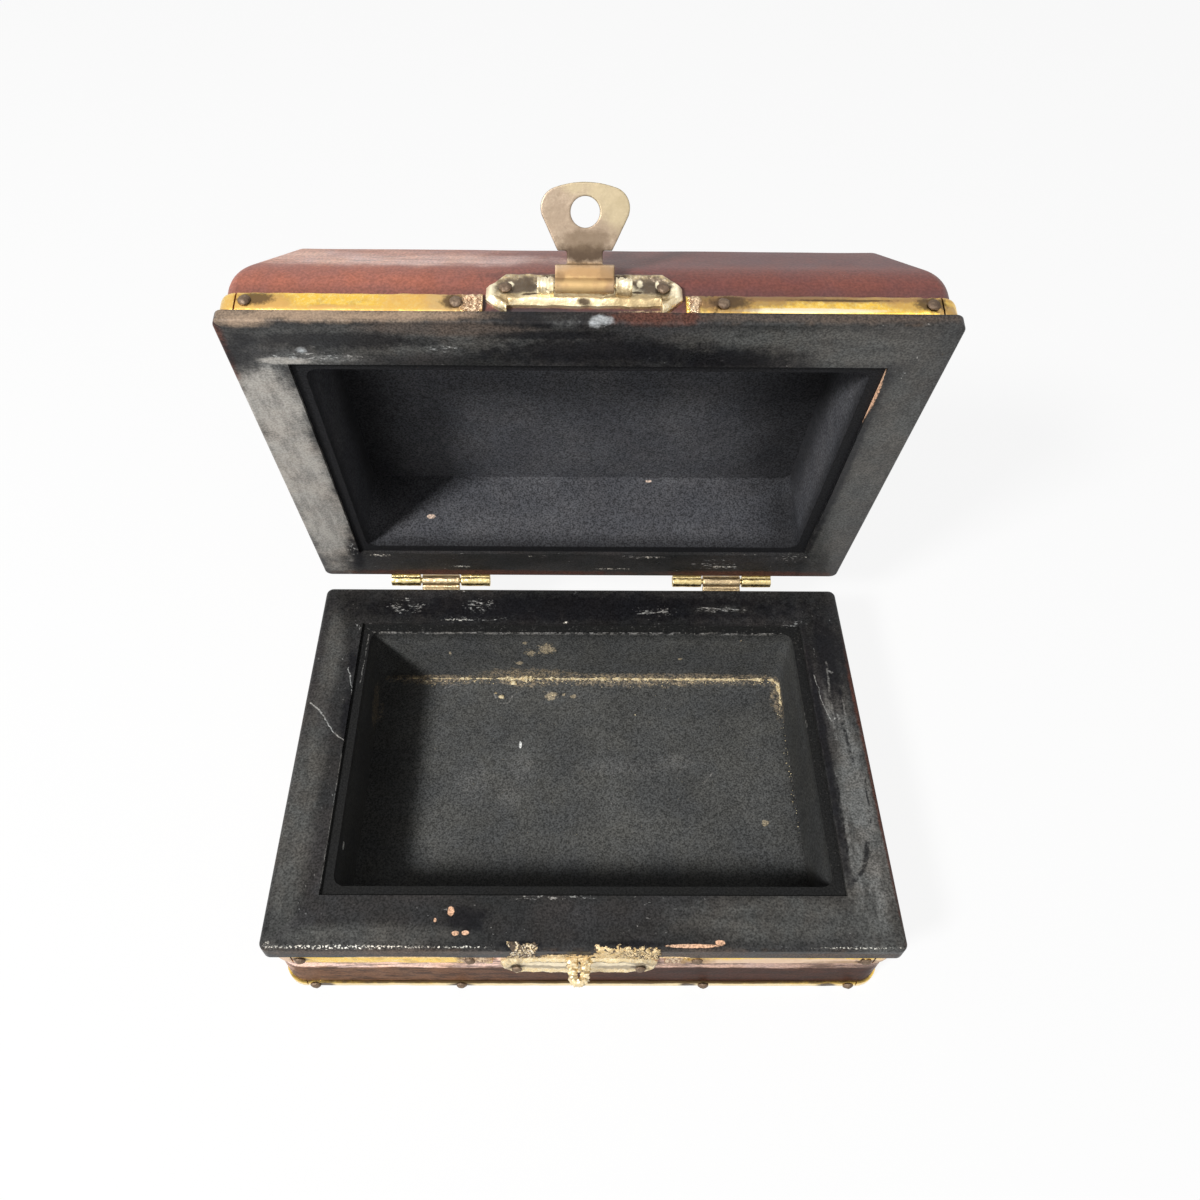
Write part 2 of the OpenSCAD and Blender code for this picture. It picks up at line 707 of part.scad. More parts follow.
module hasp_strap() {
    half = head_half();
    n = len(half);
    outline = concat(half, [for (k = [n - 2 : -1 : 0]) [-half[k][0], half[k][1]]]);
    in_hasp() color(old_brass) difference() {
        union() {
            translate([-root_w / 2, 0, 0]) rotate([0, 90, 0]) cylinder(h = root_w, r = hasp_knuckle_r);
            translate([-root_w / 2, -hasp_knuckle_r, -root_l]) cube([root_w, 2 * strap_t, root_l]);
            translate([-neck_w / 2, -hasp_knuckle_r, -root_l - neck_l - 0.5])
                cube([neck_w, strap_t, neck_l + 1]);
            translate([0, strap_t - hasp_knuckle_r, 0]) rotate([90, 0, 0])
                linear_extrude(strap_t) polygon(outline);
        }
        translate([-root_w, 0, 0]) rotate([0, 90, 0]) cylinder(h = 2 * root_w, r = hasp_pin_r + pin_clear);
        translate([0, 0, -hole_at]) rotate([90, 0, 0]) cylinder(h = 10, d = hole_d, center = true);
    }
}

base_wall(0);  // base_front_wall
base_wall(1);  // base_back_wall
base_wall(2);  // base_left_wall
base_wall(3);  // base_right_wall
base_bottom();
base_lining();
base_cover();
base_band() front_strip(-1, band_t, band_h, panel_r);  // base_band_front_left
base_band() front_strip(1, band_t, band_h, panel_r);  // base_band_front_right
base_band() strip_side(-1, band_t, band_h, panel_r);  // base_band_left
base_band() strip_side(1, band_t, band_h, panel_r);  // base_band_right
base_band() whole_strip(1, band_t, band_h, panel_r);  // base_band_back
foot_band() whole_strip(-1, foot_t, foot_h, panel_r);  // foot_band_front
foot_band() whole_strip(1, foot_t, foot_h, panel_r);  // foot_band_back
foot_band() strip_side(-1, foot_t, foot_h, panel_r);  // foot_band_left
foot_band() strip_side(1, foot_t, foot_h, panel_r);  // foot_band_right
base_band_nails();
foot_band_nails();
staple_plate();
staple_plate_nails();
staple();
base_leaf(-hinge_x);  // hinge_left_base_leaf
base_leaf(hinge_x);  // hinge_right_base_leaf
hinge_pin(-hinge_x);  // hinge_left_pin
hinge_pin(hinge_x);  // hinge_right_pin
hinge_screws(base_nail_z);  // hinge_base_screws
lid_wall(0);  // lid_front_wall
lid_wall(1);  // lid_back_wall
lid_wall(2);  // lid_left_wall
lid_wall(3);  // lid_right_wall
lid_top_board();
lid_lining();
lid_cover();
lid_band() front_strip(-1, band_t, band_h, lid_r);  // lid_band_front_left
lid_band() front_strip(1, band_t, band_h, lid_r);  // lid_band_front_right
lid_band() strip_side(-1, band_t, band_h, lid_r);  // lid_band_left
lid_band() strip_side(1, band_t, band_h, lid_r);  // lid_band_right
lid_band() whole_strip(1, band_t, band_h, lid_r);  // lid_band_back
lid_band_nails();
lid_leaf(-hinge_x);  // hinge_left_lid_leaf
lid_leaf(hinge_x);  // hinge_right_lid_leaf
in_lid() hinge_screws(lid_nail_z);  // hinge_lid_screws
hasp_plate();
hasp_plate_nails();
hasp_pin();
hasp_strap();
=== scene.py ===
# Trinket box with a brass-bound lid standing open and its hasp raised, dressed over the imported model.
import json
import math
import random

import bpy
from mathutils import Matrix, Vector, noise


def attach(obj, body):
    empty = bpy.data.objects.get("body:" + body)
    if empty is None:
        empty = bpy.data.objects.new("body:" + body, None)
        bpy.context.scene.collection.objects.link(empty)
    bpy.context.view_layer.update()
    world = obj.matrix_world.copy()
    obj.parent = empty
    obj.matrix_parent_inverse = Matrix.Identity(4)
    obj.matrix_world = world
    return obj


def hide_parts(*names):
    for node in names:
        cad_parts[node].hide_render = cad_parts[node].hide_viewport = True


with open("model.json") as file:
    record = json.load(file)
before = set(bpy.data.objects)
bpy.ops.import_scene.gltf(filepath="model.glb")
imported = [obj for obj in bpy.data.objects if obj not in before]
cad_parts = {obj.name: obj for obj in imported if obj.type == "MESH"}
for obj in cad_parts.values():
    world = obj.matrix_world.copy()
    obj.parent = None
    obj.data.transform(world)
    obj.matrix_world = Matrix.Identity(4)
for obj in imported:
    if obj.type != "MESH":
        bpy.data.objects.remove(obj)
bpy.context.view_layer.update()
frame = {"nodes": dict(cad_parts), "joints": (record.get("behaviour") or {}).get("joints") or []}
nodes = frame["nodes"]
print("frame loaded:", len(nodes), "nodes")

mm = 0.001

# The part's own sizes in millimetres. Lid sizes are for the lid shut, with z = 0 at its rim.
sizes = dict(
    width=131.0, depth=93.8, baseHeight=24.4, lidHeight=26.2, rimGap=0.3,
    panelStep=1.0, baseLip=4.4, lidLip=2.4, baseCorner=4.5, lidCorner=2.5, rimRound=1.0,
    bandHeight=4.4, bandThick=0.8, footHeight=2.4, footThick=0.5, footUp=0.3, stripGap=0.3,
    shoulder=9.0, shoulderRadius=13.0, lean=31.0, topRadius=1.6,
    sideWall=10.6, backWall=11.4, lining=2.3, floor=3.2,
    plateEnd=0.6, plateThick=1.5, plateRoom=34.4, lidPlate=(34.4, 8.6), basePlate=(32.4, 7.6), haspX=-1.0,
)
halfWidth = sizes["width"] / 2
halfDepth = sizes["depth"] / 2
panelY = halfDepth - sizes["panelStep"]
lidJoint = [j for j in frame["joints"] if j["name"] == "lid_hinge"][0]
haspJoint = [j for j in frame["joints"] if j["name"] == "hasp_hinge"][0]
pin = Vector(lidJoint["pos_m"])
haspPin = Vector(haspJoint["pos_m"])
lidOpen = math.radians(lidJoint["range_deg"][1])
lidLift = (sizes["baseHeight"] + sizes["rimGap"]) * mm
lidPlace = (
    Matrix.Translation(pin) @ Matrix.Rotation(-lidOpen, 4, "X")
    @ Matrix.Translation((0, -pin.y, lidLift - pin.z))
)
haspShut = (lidPlace.inverted() @ haspPin) / mm  # the hasp's pin with the lid shut, in millimetres


# Shader nodes. The helpers work on the material begun last: its tree, its shader and its place.

def newMaterial(name, onLid=None):
    global tree, shader, place
    material = bpy.data.materials.new(name)
    material.use_nodes = True
    tree = material.node_tree
    shader = tree.nodes["Principled BSDF"]
    place = None if onLid is None else placeOf(onLid)
    return material


# A value is either a socket to link from or a plain one to set
def feed(socket, value):
    if isinstance(value, bpy.types.NodeSocket):
        tree.links.new(value, socket)
    else:
        socket.default_value = value


def put(kind, inputs=None, **settings):
    made = tree.nodes.new(kind)
    for key, value in settings.items():
        setattr(made, key, value)
    for key, value in (inputs or {}).items():
        feed(made.inputs[key], value)
    return made


def maths(kind, a, b=0.0, c=0.0, clamp=False):
    return put("ShaderNodeMath", {0: a, 1: b, 2: c}, operation=kind, use_clamp=clamp).outputs[0]


def times(a, b):
    return maths("MULTIPLY", a, b)


def vectors(kind, a, b=(0, 0, 0), c=(0, 0, 0)):
    return put("ShaderNodeVectorMath", {0: a, 1: b, 2: c}, operation=kind).outputs


def blendColour(amount, a, b, kind="MIX"):
    made = put("ShaderNodeMix", data_type="RGBA", blend_type=kind)
    feed(made.inputs[0], amount)
    for key, value in ((6, a), (7, b)):
        feed(made.inputs[key], (*value, 1) if isinstance(value, tuple) else value)
    return made.outputs[2]


# Colour with a tone laid over it where the mask is 1
def wash(colour, mask, strength, tone):
    return blendColour(times(mask, strength), colour, tone)


# Value of a noise whose blotches are about size millimetres wide, drawn out by stretch
def blotches(size, detail=3.0, rough=0.5, stretch=(1, 1, 1), shift=0.0, bend=0.0):
    scale = tuple(1 / (size * s) for s in stretch)
    moved = vectors("MULTIPLY_ADD", place, scale, (shift, shift * 0.7, shift * 1.3))[0]
    return put("ShaderNodeTexNoise", {
        "Vector": moved, "Scale": 1.0, "Detail": detail, "Roughness": rough, "Distortion": bend}).outputs[0]


# 0 below low and 1 above high, softly between; the other way round when low is the larger
def ramp(value, low, high):
    return put("ShaderNodeMapRange", {0: value, 1: low, 2: high}, interpolation_type="SMOOTHSTEP").outputs[0]


# 1 inside any of the spots (x, y, z, rx, ry, rz) in millimetres, with edges frayed by a noise
def spots(listed, fray=0.6, size=1.0, shift=0.0, soft=0.25):
    nearest = None
    for x, y, z, rx, ry, rz in listed:
        scaled = vectors("MULTIPLY_ADD", place, (1 / rx, 1 / ry, 1 / rz), (-x / rx, -y / ry, -z / rz))[0]
        far = vectors("LENGTH", scaled)[1]
        nearest = far if nearest is None else maths("MINIMUM", nearest, far)
    frayed = maths("MULTIPLY_ADD", blotches(size, 4, 0.6, shift=shift), -2 * fray, nearest)
    return ramp(maths("ADD", frayed, fray), 1.0 + soft, 1.0 - soft)


# 1 along scratches (x0, y0, x1, y1, width, bend) seen from above the rim
def scratches(listed):
    total = None
    for k, (x0, y0, x1, y1, width, bend) in enumerate(listed):
        length = math.hypot(x1 - x0, y1 - y0)
        way = ((x1 - x0) / length, (y1 - y0) / length, 0)
        offset = vectors("SUBTRACT", place, (x0, y0, 0))[0]
        along = vectors("DOT_PRODUCT", offset, way)[1]
        across = vectors("DOT_PRODUCT", offset, (-way[1], way[0], 0))[1]
        wobble = maths("SUBTRACT", blotches(2.2, 3, 0.6, shift=k), 0.5)
        across = maths("ABSOLUTE", maths("MULTIPLY_ADD", wobble, 2 * bend, across))
        thin = ramp(across, width, width * 0.3)
        inside = times(ramp(along, -0.2, 0.3), ramp(along, length + 0.2, length - 0.3))
        line = times(thin, inside)
        total = line if total is None else maths("MAXIMUM", total, line)
    return total


# Place in millimetres; on the lid it is turned back to the shut lid
def placeOf(onLid):
    seen = put("ShaderNodeTexCoord").outputs["Object"]
    if onLid:
        seen = put("ShaderNodeVectorRotate", {
            "Vector": seen, "Center": tuple(pin), "Axis": (1, 0, 0), "Angle": lidOpen}).outputs[0]
        seen = vectors("SUBTRACT", seen, (0, 0, lidLift))[0]
    return vectors("MULTIPLY", seen, (1 / mm, 1 / mm, 1 / mm))[0]


def axisOf(axis):
    return put("ShaderNodeSeparateXYZ", {0: place}).outputs["XYZ".index(axis)]


def relief(heights):
    normal = None
    for height, depth in heights:
        inputs = {"Height": height, "Distance": depth * mm, "Strength": 1.0}
        if normal is not None:
            inputs["Normal"] = normal
        normal = put("ShaderNodeBump", inputs).outputs[0]
    tree.links.new(normal, shader.inputs["Normal"])


def setShader(**values):
    names = dict(colour="Base Color", rough="Roughness", metal="Metallic", shine="Specular IOR Level")
    for key, value in values.items():
        feed(shader.inputs[names[key]], value)


def dress(material, *names):
    for name in names:
        mesh = nodes[name].data
        mesh.materials.clear()
        mesh.materials.append(material)


# Mottle of an aged surface: darkened and lightened grain by grain, its tint drifting between two
def speckle(colour, size, low, high, shift=0.0, tints=((1.04, 0.99, 0.94), (0.98, 1.0, 1.0))):
    grain = blotches(size, 2, 0.5, shift=shift)
    lit = put("ShaderNodeMapRange", {0: grain, 1: 0.34, 2: 0.66, 3: low, 4: high}).outputs[0]
    drift = ramp(blotches(8, 3, 0.6, shift=shift + 31), 0.35, 0.65)
    tint = blendColour(1.0, blendColour(drift, *tints),
                       put("ShaderNodeCombineColor", {0: lit, 1: lit, 2: lit}).outputs[0], "MULTIPLY")
    return blendColour(1.0, colour, tint, "MULTIPLY"), grain


# Black lacquer on the rims, with bare wood, haze, scuffs, and painted sheen, glare and glints where the marks say

lacquerLook = dict(
    black=(0.0245, 0.0245, 0.0245), lifted=(0.041, 0.039, 0.040), warm=(0.095, 0.037, 0.026),
    worn=(0.080, 0.048, 0.028), bare=(0.72, 0.45, 0.30), gilt=(0.72, 0.52, 0.28), haze=(0.096, 0.095, 0.090),
    bloom=(0.43, 0.405, 0.370), mist=(0.172, 0.172, 0.167), tan=(0.40, 0.29, 0.205), smear=(0.50, 0.53, 0.55),
    glint=(0.82, 0.78, 0.70), mauve=(0.098, 0.076, 0.063), scuff=(0.40, 0.40, 0.39), ink=(0.007, 0.007, 0.009),
    smooth=0.26, dull=0.46, brushSize=0.5, brushDepth=0.012, peelSize=0.9, peelDepth=0.010,
    grainSize=0.38, grainDepth=0.025,
)
# Haze, mist and bloom are partly pale film on the lacquer and partly painted reflection: the glare on the lid's left
# rim and the grey sheen on the side rims. Glint is painted highlight in specks along the edges.
markOrder = (  # tone, strength, fray, size of the fraying in mm, softness
    ("haze", 0.85, 0.5, 5.0, 0.55), ("mist", 0.85, 0.6, 3.0, 0.5), ("bloom", 0.9, 0.55, 4.0, 0.35),
    ("mauve", 0.85, 0.5, 3.0, 0.5), ("tan", 0.85, 0.5, 2.5, 0.5), ("warm", 0.85, 0.6, 2.0, 0.45),
    ("ink", 0.85, 0.8, 2.0, 0.5), ("smear", 0.9, 0.9, 1.6, 0.6), ("scuff", 0.85, 1.1, 0.7, 0.25),
    ("glint", 0.95, 0.9, 0.6, 0.3), ("gilt", 1.0, 0.55, 0.9, 0.12), ("bare", 1.0, 0.35, 0.7, 0.12))


def lacquer(name, onLid, along, marks, shine=0.12):
    look = lacquerLook
    material = newMaterial(name, onLid)
    drawn = (16, 1, 1) if along == "X" else (1, 16, 1)

    # Stretch along the rim by a share of that
    def drawnBy(share):
        return tuple(1 + share * d for d in drawn)

    wide = blotches(11, 3, 0.55, stretch=drawnBy(0.1))
    brush = blotches(look["brushSize"], 3, 0.6, stretch=drawn, shift=2)
    colour = blendColour(ramp(wide, 0.35, 0.75), look["black"], look["lifted"])
    colour = blendColour(times(ramp(brush, 0.5, 0.8), 0.3), colour, look["lifted"])
    # rubbed brown along the outer edges
    x = maths("ABSOLUTE", axisOf("X"))
    y = maths("ABSOLUTE", axisOf("Y"))
    out = maths("MAXIMUM", maths("SUBTRACT", x, halfWidth), maths("SUBTRACT", y, halfDepth))
    worn = times(ramp(out, -0.8, 0.0), ramp(blotches(5, 4, 0.6, shift=9), 0.5, 0.7))
    colour = wash(colour, worn, 0.5, look["worn"])
    rough = maths("MULTIPLY_ADD", ramp(wide, 0.3, 0.8), look["dull"] - look["smooth"], look["smooth"])
    flecks = ramp(blotches(0.6, 2, 0.5, stretch=drawnBy(0.06), shift=7), 0.70, 0.74)
    where = ramp(blotches(8, 2, 0.5, shift=12), 0.44, 0.6)
    colour = blendColour(times(times(flecks, where), 0.5), colour, look["scuff"])
    lowered, calm = [], 0.0
    for tone, strong, fray, size, soft in markOrder:
        if tone not in marks:
            continue
        mask = spots(marks[tone], fray, size, shift=len(tone), soft=soft)
        if tone in ("haze", "mist", "bloom", "mauve", "tan", "smear"):
            streaks = blotches(1.6, 4, 0.6, stretch=drawnBy(0.35), shift=3)
            keep = 0.2 if tone == "mist" else 0.65
            mask = times(mask, maths("MULTIPLY_ADD", ramp(streaks, 0.36, 0.6), 1 - keep, keep))
        # glint: painted highlight, broken into specks
        if tone == "glint":
            mask = times(mask, ramp(blotches(0.5, 2, 0.6, shift=8), 0.50, 0.58))
        if tone == "scuff":
            worked = blotches(0.55, 4, 0.7, stretch=drawnBy(0.10), shift=3)
            mask = times(mask, ramp(worked, 0.53, 0.63))
        colour = wash(colour, mask, strong, look[tone])
        rough = maths("MULTIPLY_ADD", mask, 0.0 if tone in ("ink", "haze") else 0.2, rough, clamp=True)
        if tone in ("bloom", "tan", "smear"):
            calm = maths("MAXIMUM", calm, mask)
        if tone in ("bare", "gilt"):
            lowered.append((maths("SUBTRACT", 1.0, mask), 0.12))
    for tone, strokes in (("mist", "paleStrokes"), ("ink", "darkStrokes")):
        if strokes in marks:
            brushed = times(scratches(marks[strokes]), ramp(blotches(1.5, 3, 0.6, shift=18), 0.36, 0.54))
            colour = wash(colour, brushed, 0.8, look[tone])
    if "lines" in marks:
        lines = scratches(marks["lines"])
        rubbed = times(lines, ramp(blotches(0.8, 3, 0.6, shift=14), 0.3, 0.55))
        colour = wash(colour, rubbed, 0.8, look["scuff"])
        lowered.append((maths("SUBTRACT", 1.0, lines), 0.10))
    plain = colour
    colour, grain = speckle(colour, look["grainSize"], 0.52, 1.50, 1.0)
    colour = wash(colour, calm, 0.6, plain)
    relief([(brush, look["brushDepth"]), (blotches(look["peelSize"], 2, 0.5, shift=5), look["peelDepth"]),
            (grain, look["grainDepth"])] + lowered)
    setShader(colour=colour, rough=rough, shine=shine)
    return material


baseMarks = dict(
    front=dict(
        bare=[(-27.3, -38.9, 0.7, 1.0), (-26.1, -43.5, 0.75, 0.5), (-24.1, -43.4, 0.75, 0.5),
              (-30.4, -40.8, 0.3, 0.45), (27.4, -45.4, 1.0, 0.6, 1), (21.8, -46.0, 24.2, 5.4, 0.4, 0.6)],
        gilt=[(-37, -46.9, 20.0, 12, 1, 0.45), (-3.5, -46.9, 21.0, 5.5, 1.0, 0.9), (18.0, -46.9, 20.2, 4, 1.0, 0.5)],
        haze=[(41, -40.5, 19, 5.0, 3), (60, -42, 6, 7, 3), (-45, -44, 17, 2.2)],
        mauve=[(24, -46.9, 22.4, 9, 1, 2.0), (-40, -46.9, 22.6, 24, 1, 1.4), (50, -46.9, 21.8, 15, 1, 0.9)],
        ink=[(-24.0, -40.6, 4.0, 2.6), (10, -45.6, 6, 0.7), (-13, -45.8, 5, 0.8)],
        glint=[(-48.5, -46.25, 24.2, 16, 0.35, 0.45), (-26, -46.25, 24.2, 6, 0.2, 0.4),
               (-63.9, -45.4, 24.0, 0.7, 0.6, 0.6), (55, -46.3, 24.1, 9, 0.2, 0.3)],
        scuff=[(-7, -35.9, 8, 0.5, 1)]),
    back=dict(
        scuff=[(35, 40.2, 5.5, 0.7, 1), (-26, 41.2, 4, 1.8, 1), (-27, 36.9, 7, 0.6, 1), (19, 39.5, 5, 1.3, 1),
               (54, 35.6, 3.4, 1.0, 1), (-44, 41, 4, 2.2, 1), (-52.4, 34.4, 1.4, 1.2, 1),
               (-29.7, 46.2, 24.2, 2.5, 0.5, 1)],
        glint=[(-31, 36.6, 3.5, 0.3, 1), (-4, 35.9, 0.8, 0.3, 1)],
        haze=[(35, 40.3, 9, 1.2)],
        ink=[(0, 40.5, 58, 4.6)],
        lines=[(-54.2, 35.1, 52.5, 35.0, 0.24, 0.3), (-55.6, 35.4, -53.4, 32.4, 0.3, 0.6),
               (30, 40.8, 40, 40.2, 0.2, 0.6), (14, 38.6, 22, 39.6, 0.2, 0.7)]),
    left=dict(
        scuff=[(-55.7, 34.0, 0.6, 1.4, 1)],
        haze=[(-62, -18, 3.4, 28), (-61, 26, 2.5, 12)],
        ink=[(-55.6, 23.5, 1.2, 3.2), (-55.0, 8.5, 24.2, 1.4, 7, 2)],
        lines=[(-64.3, 11.9, -61.0, 8.6, 0.3, 0.5), (-61.0, 8.6, -57.4, 3.4, 0.22, 0.5),
               (-57.4, 3.4, -54.5, 1.1, 0.24, 0.5),
               (-56.6, 21.9, -54.6, 14.0, 0.2, 0.7), (-54.9, -34, -54.9, -2, 0.10, 0.02)],
        bare=[(-54.9, -22.0, 21.8, 0.4, 0.8, 0.8)]),
    right=dict(
        # painted sheen: the grey reflections along the base's right rim, as mist, haze and pale strokes
        mist=[(61.2, -13, 3.6, 22), (60.8, -32, 3.6, 9), (58.2, 12, 0.7, 6)],
        haze=[(61, -20, 4.4, 24), (58, -36, 6, 5), (62.8, 16, 0.8, 10)],
        ink=[(55.8, 2, 0.9, 30), (61, 26, 4, 12)],
        darkStrokes=[(61.8, 16, 60.8, 5.0, 0.55, 0.5), (60.8, 5.0, 61.6, -4.0, 0.5, 0.6),
                     (61.4, -23.0, 59.4, -29.5, 0.85, 0.5), (59.4, -29.5, 55.4, -33.6, 0.7, 0.5),
                     (57.0, -8.0, 56.4, -26.0, 0.45, 0.4), (63.4, -8.0, 62.8, -19.0, 0.30, 0.4)],
        paleStrokes=[(59.8, 24.2, 59.0, 12.0, 0.35, 0.5), (59.0, 12.0, 58.6, 2.0, 0.5, 0.5),
                     (57.6, -14.0, 57.0, -31.0, 0.6, 0.5), (61.9, 14, 61.6, -6, 0.3, 0.4),
                     (61.0, -30.5, 59.6, -35.5, 0.5, 0.5)],
        lines=[(56.2, 20.2, 57.0, 12.0, 0.14, 0.5), (57.0, 12.0, 58.2, 7.2, 0.2, 0.6),
               (58.2, 7.2, 59.6, 8.0, 0.2, 0.6), (52.9, 32, 53.4, -30, 0.12, 0.10)],
        scuff=[(59.9, 8.4, 0.6, 0.8), (57.2, 10.4, 0.35, 0.6), (57.3, 26, 0.3, 2.0), (61.5, 4.2, 1.0, 0.4),
               (60.2, 21.0, 0.7, 0.5)],
        warm=[(65.2, 14, 24.0, 0.9, 16, 1.6), (65.2, -10, 24.0, 0.7, 30, 1.0)]),
)
lidMarks = dict(
    front=dict(
        scuff=[(-26.0, -39.8, 3.0, 0.8, 1), (-43.4, -38.1, 0.5, 0.8, 1), (-50, -37.6, 9, 0.9, 1)],
        smear=[(2.0, -46.8, 0.8, 1.6, 1.0, 0.8), (1.0, -46.5, 0.3, 1.2, 0.8, 0.5), (-51.4, -39.4, 0.8, 0.65, 1)],
        mist=[(-4.6, -46.6, 0.9, 2.4, 1.4, 1.3), (-4.6, -46.4, 0.3, 2.0, 1.2, 0.9), (-7, -46.8, 0.9, 2.0, 1.0, 0.9),
              (-50, -36.6, 9, 1.7), (-60, -33, 4, 3)],
        haze=[(-34, -42.0, 28, 3.4), (40, -42, 26, 4.2), (50, -39, 14, 3.4)],
        bloom=[(-56, -36.4, 5.0, 1.0)],
        tan=[(-44, -46.9, 1.5, 23, 1.0, 1.3), (-60, -46.4, 0.6, 5, 1.2, 1.2)],
        mauve=[(-44, -46.9, 1.4, 24, 1.0, 1.3), (-22, -46.9, 1.6, 10, 1.0, 0.9), (42, -46.9, 1.4, 24, 1, 1.0),
               (-24, -45, 0.2, 16, 1.6, 1)],
        ink=[(2, -39.5, 22, 3.6), (25, -37.8, 13, 2.8), (-6, -43.6, 12, 1.2, 1), (-61, -42, 3, 1.8),
             (-8, -46.6, 1.2, 9.5, 1.4, 1.8), (-44, -42, 16, 2.2, 1)],
        warm=[(10.5, -46.9, 1.3, 7.5, 1.2, 1.5), (17.0, -46.9, 1.4, 1.8, 1, 1.4)]),
    back=dict(
        scuff=[(33, 40.4, 6, 0.7, 1), (14, 36.6, 5, 0.7, 1), (-50, 33.6, 3, 1.2, 1), (49, 33.0, 3.0, 0.9, 1),
               (-10, 36.6, 1.2, 0.6, 1), (34, 38, 3, 0.6, 1), (35, 42, 5, 0.7, 1), (52, 37, 3, 1.6, 1)],
        glint=[(35, 41.6, 3.5, 0.4, 1), (57, 36.4, 1.8, 0.7, 1), (17, 36.8, 3.0, 0.4, 1), (-50, 36.4, 2.2, 0.6, 1),
               (-12.5, 36.6, 0.8, 0.5, 1), (40, 35.0, 6, 0.4, 1), (-30, 42, 2.2, 0.4, 1), (8, 43, 4, 0.3, 1)],
        warm=[(-25, 45.4, 34, 1.4), (42, 45.4, 20, 1.5)],
        lines=[(-54, 33.6, 52, 33.8, 0.12, 0.12)]),
    left=dict(
        # painted reflection: the bright glare along the lid's left rim, over a pale film
        bloom=[(-60.8, 6, 5.6, 37), (-61, -22, 6.0, 14)],
        warm=[(-65.4, -39, 0.4, 1.2, 9, 1.4)],
        ink=[(-63, -37.5, 2.6, 4.6), (-56.0, 36, 1.6, 8)],
        scuff=[(-56.2, 33, 1.2, 3.4, 1)]),
    right=dict(
        bare=[(54.95, -27.0, 0.8, 0.55, 8.0, 0.85)],
        scuff=[(59.3, -38.0, 0.4, 0.9, 1), (58.0, -34, 0.4, 1.6, 1), (58.2, 0, 0.3, 1.0, 1)],
        # painted sheen: the grey reflection along the lid's right rim
        haze=[(60.6, 0, 5.4, 44), (60, 24, 5, 18)],
        ink=[(55.4, 4, 1.0, 33)]),
)
sideAlong = dict(front="X", back="X", left="Y", right="Y")


# Soft tones run over the mitres, so each side takes its neighbours' too
def marksOf(marks, side, top):
    own = dict(marks[side])
    for tone in ("haze", "mist", "bloom", "mauve", "ink"):
        listed = [spot for other in marks.values() for spot in other.get(tone, [])]
        if listed:
            own[tone] = listed
    return {tone: [onTop(top, spot) for spot in listed] for tone, listed in own.items()}


# Six values are a whole spot or a scratch; fewer leave out the height of the rim's top, and a reach of 2 above it
def onTop(top, spot):
    if len(spot) == 6:
        return spot
    x, y, rx, ry, *rz = spot
    return (x, y, top, rx, ry, *(rz or (2,)))


for side, along in sideAlong.items():
    dress(lacquer("blackLacquerBase" + side.title(), False, along, marksOf(baseMarks, side, sizes["baseHeight"])),
          f"base_{side}_wall")
    dress(lacquer("blackLacquerLid" + side.title(), True, along, marksOf(lidMarks, side, 0), 0.2), f"lid_{side}_wall")
print("rims lacquered")


# Painted card that lines the two halves

liningLook = dict(
    dark=(0.066, 0.067, 0.067), dusty=(0.088, 0.088, 0.085), worn=(0.26, 0.25, 0.24), glue=(0.42, 0.33, 0.22),
    edge=(0.012, 0.012, 0.012), rough=0.72, shine=0.13, grainSize=0.38, grainDepth=0.055,
)


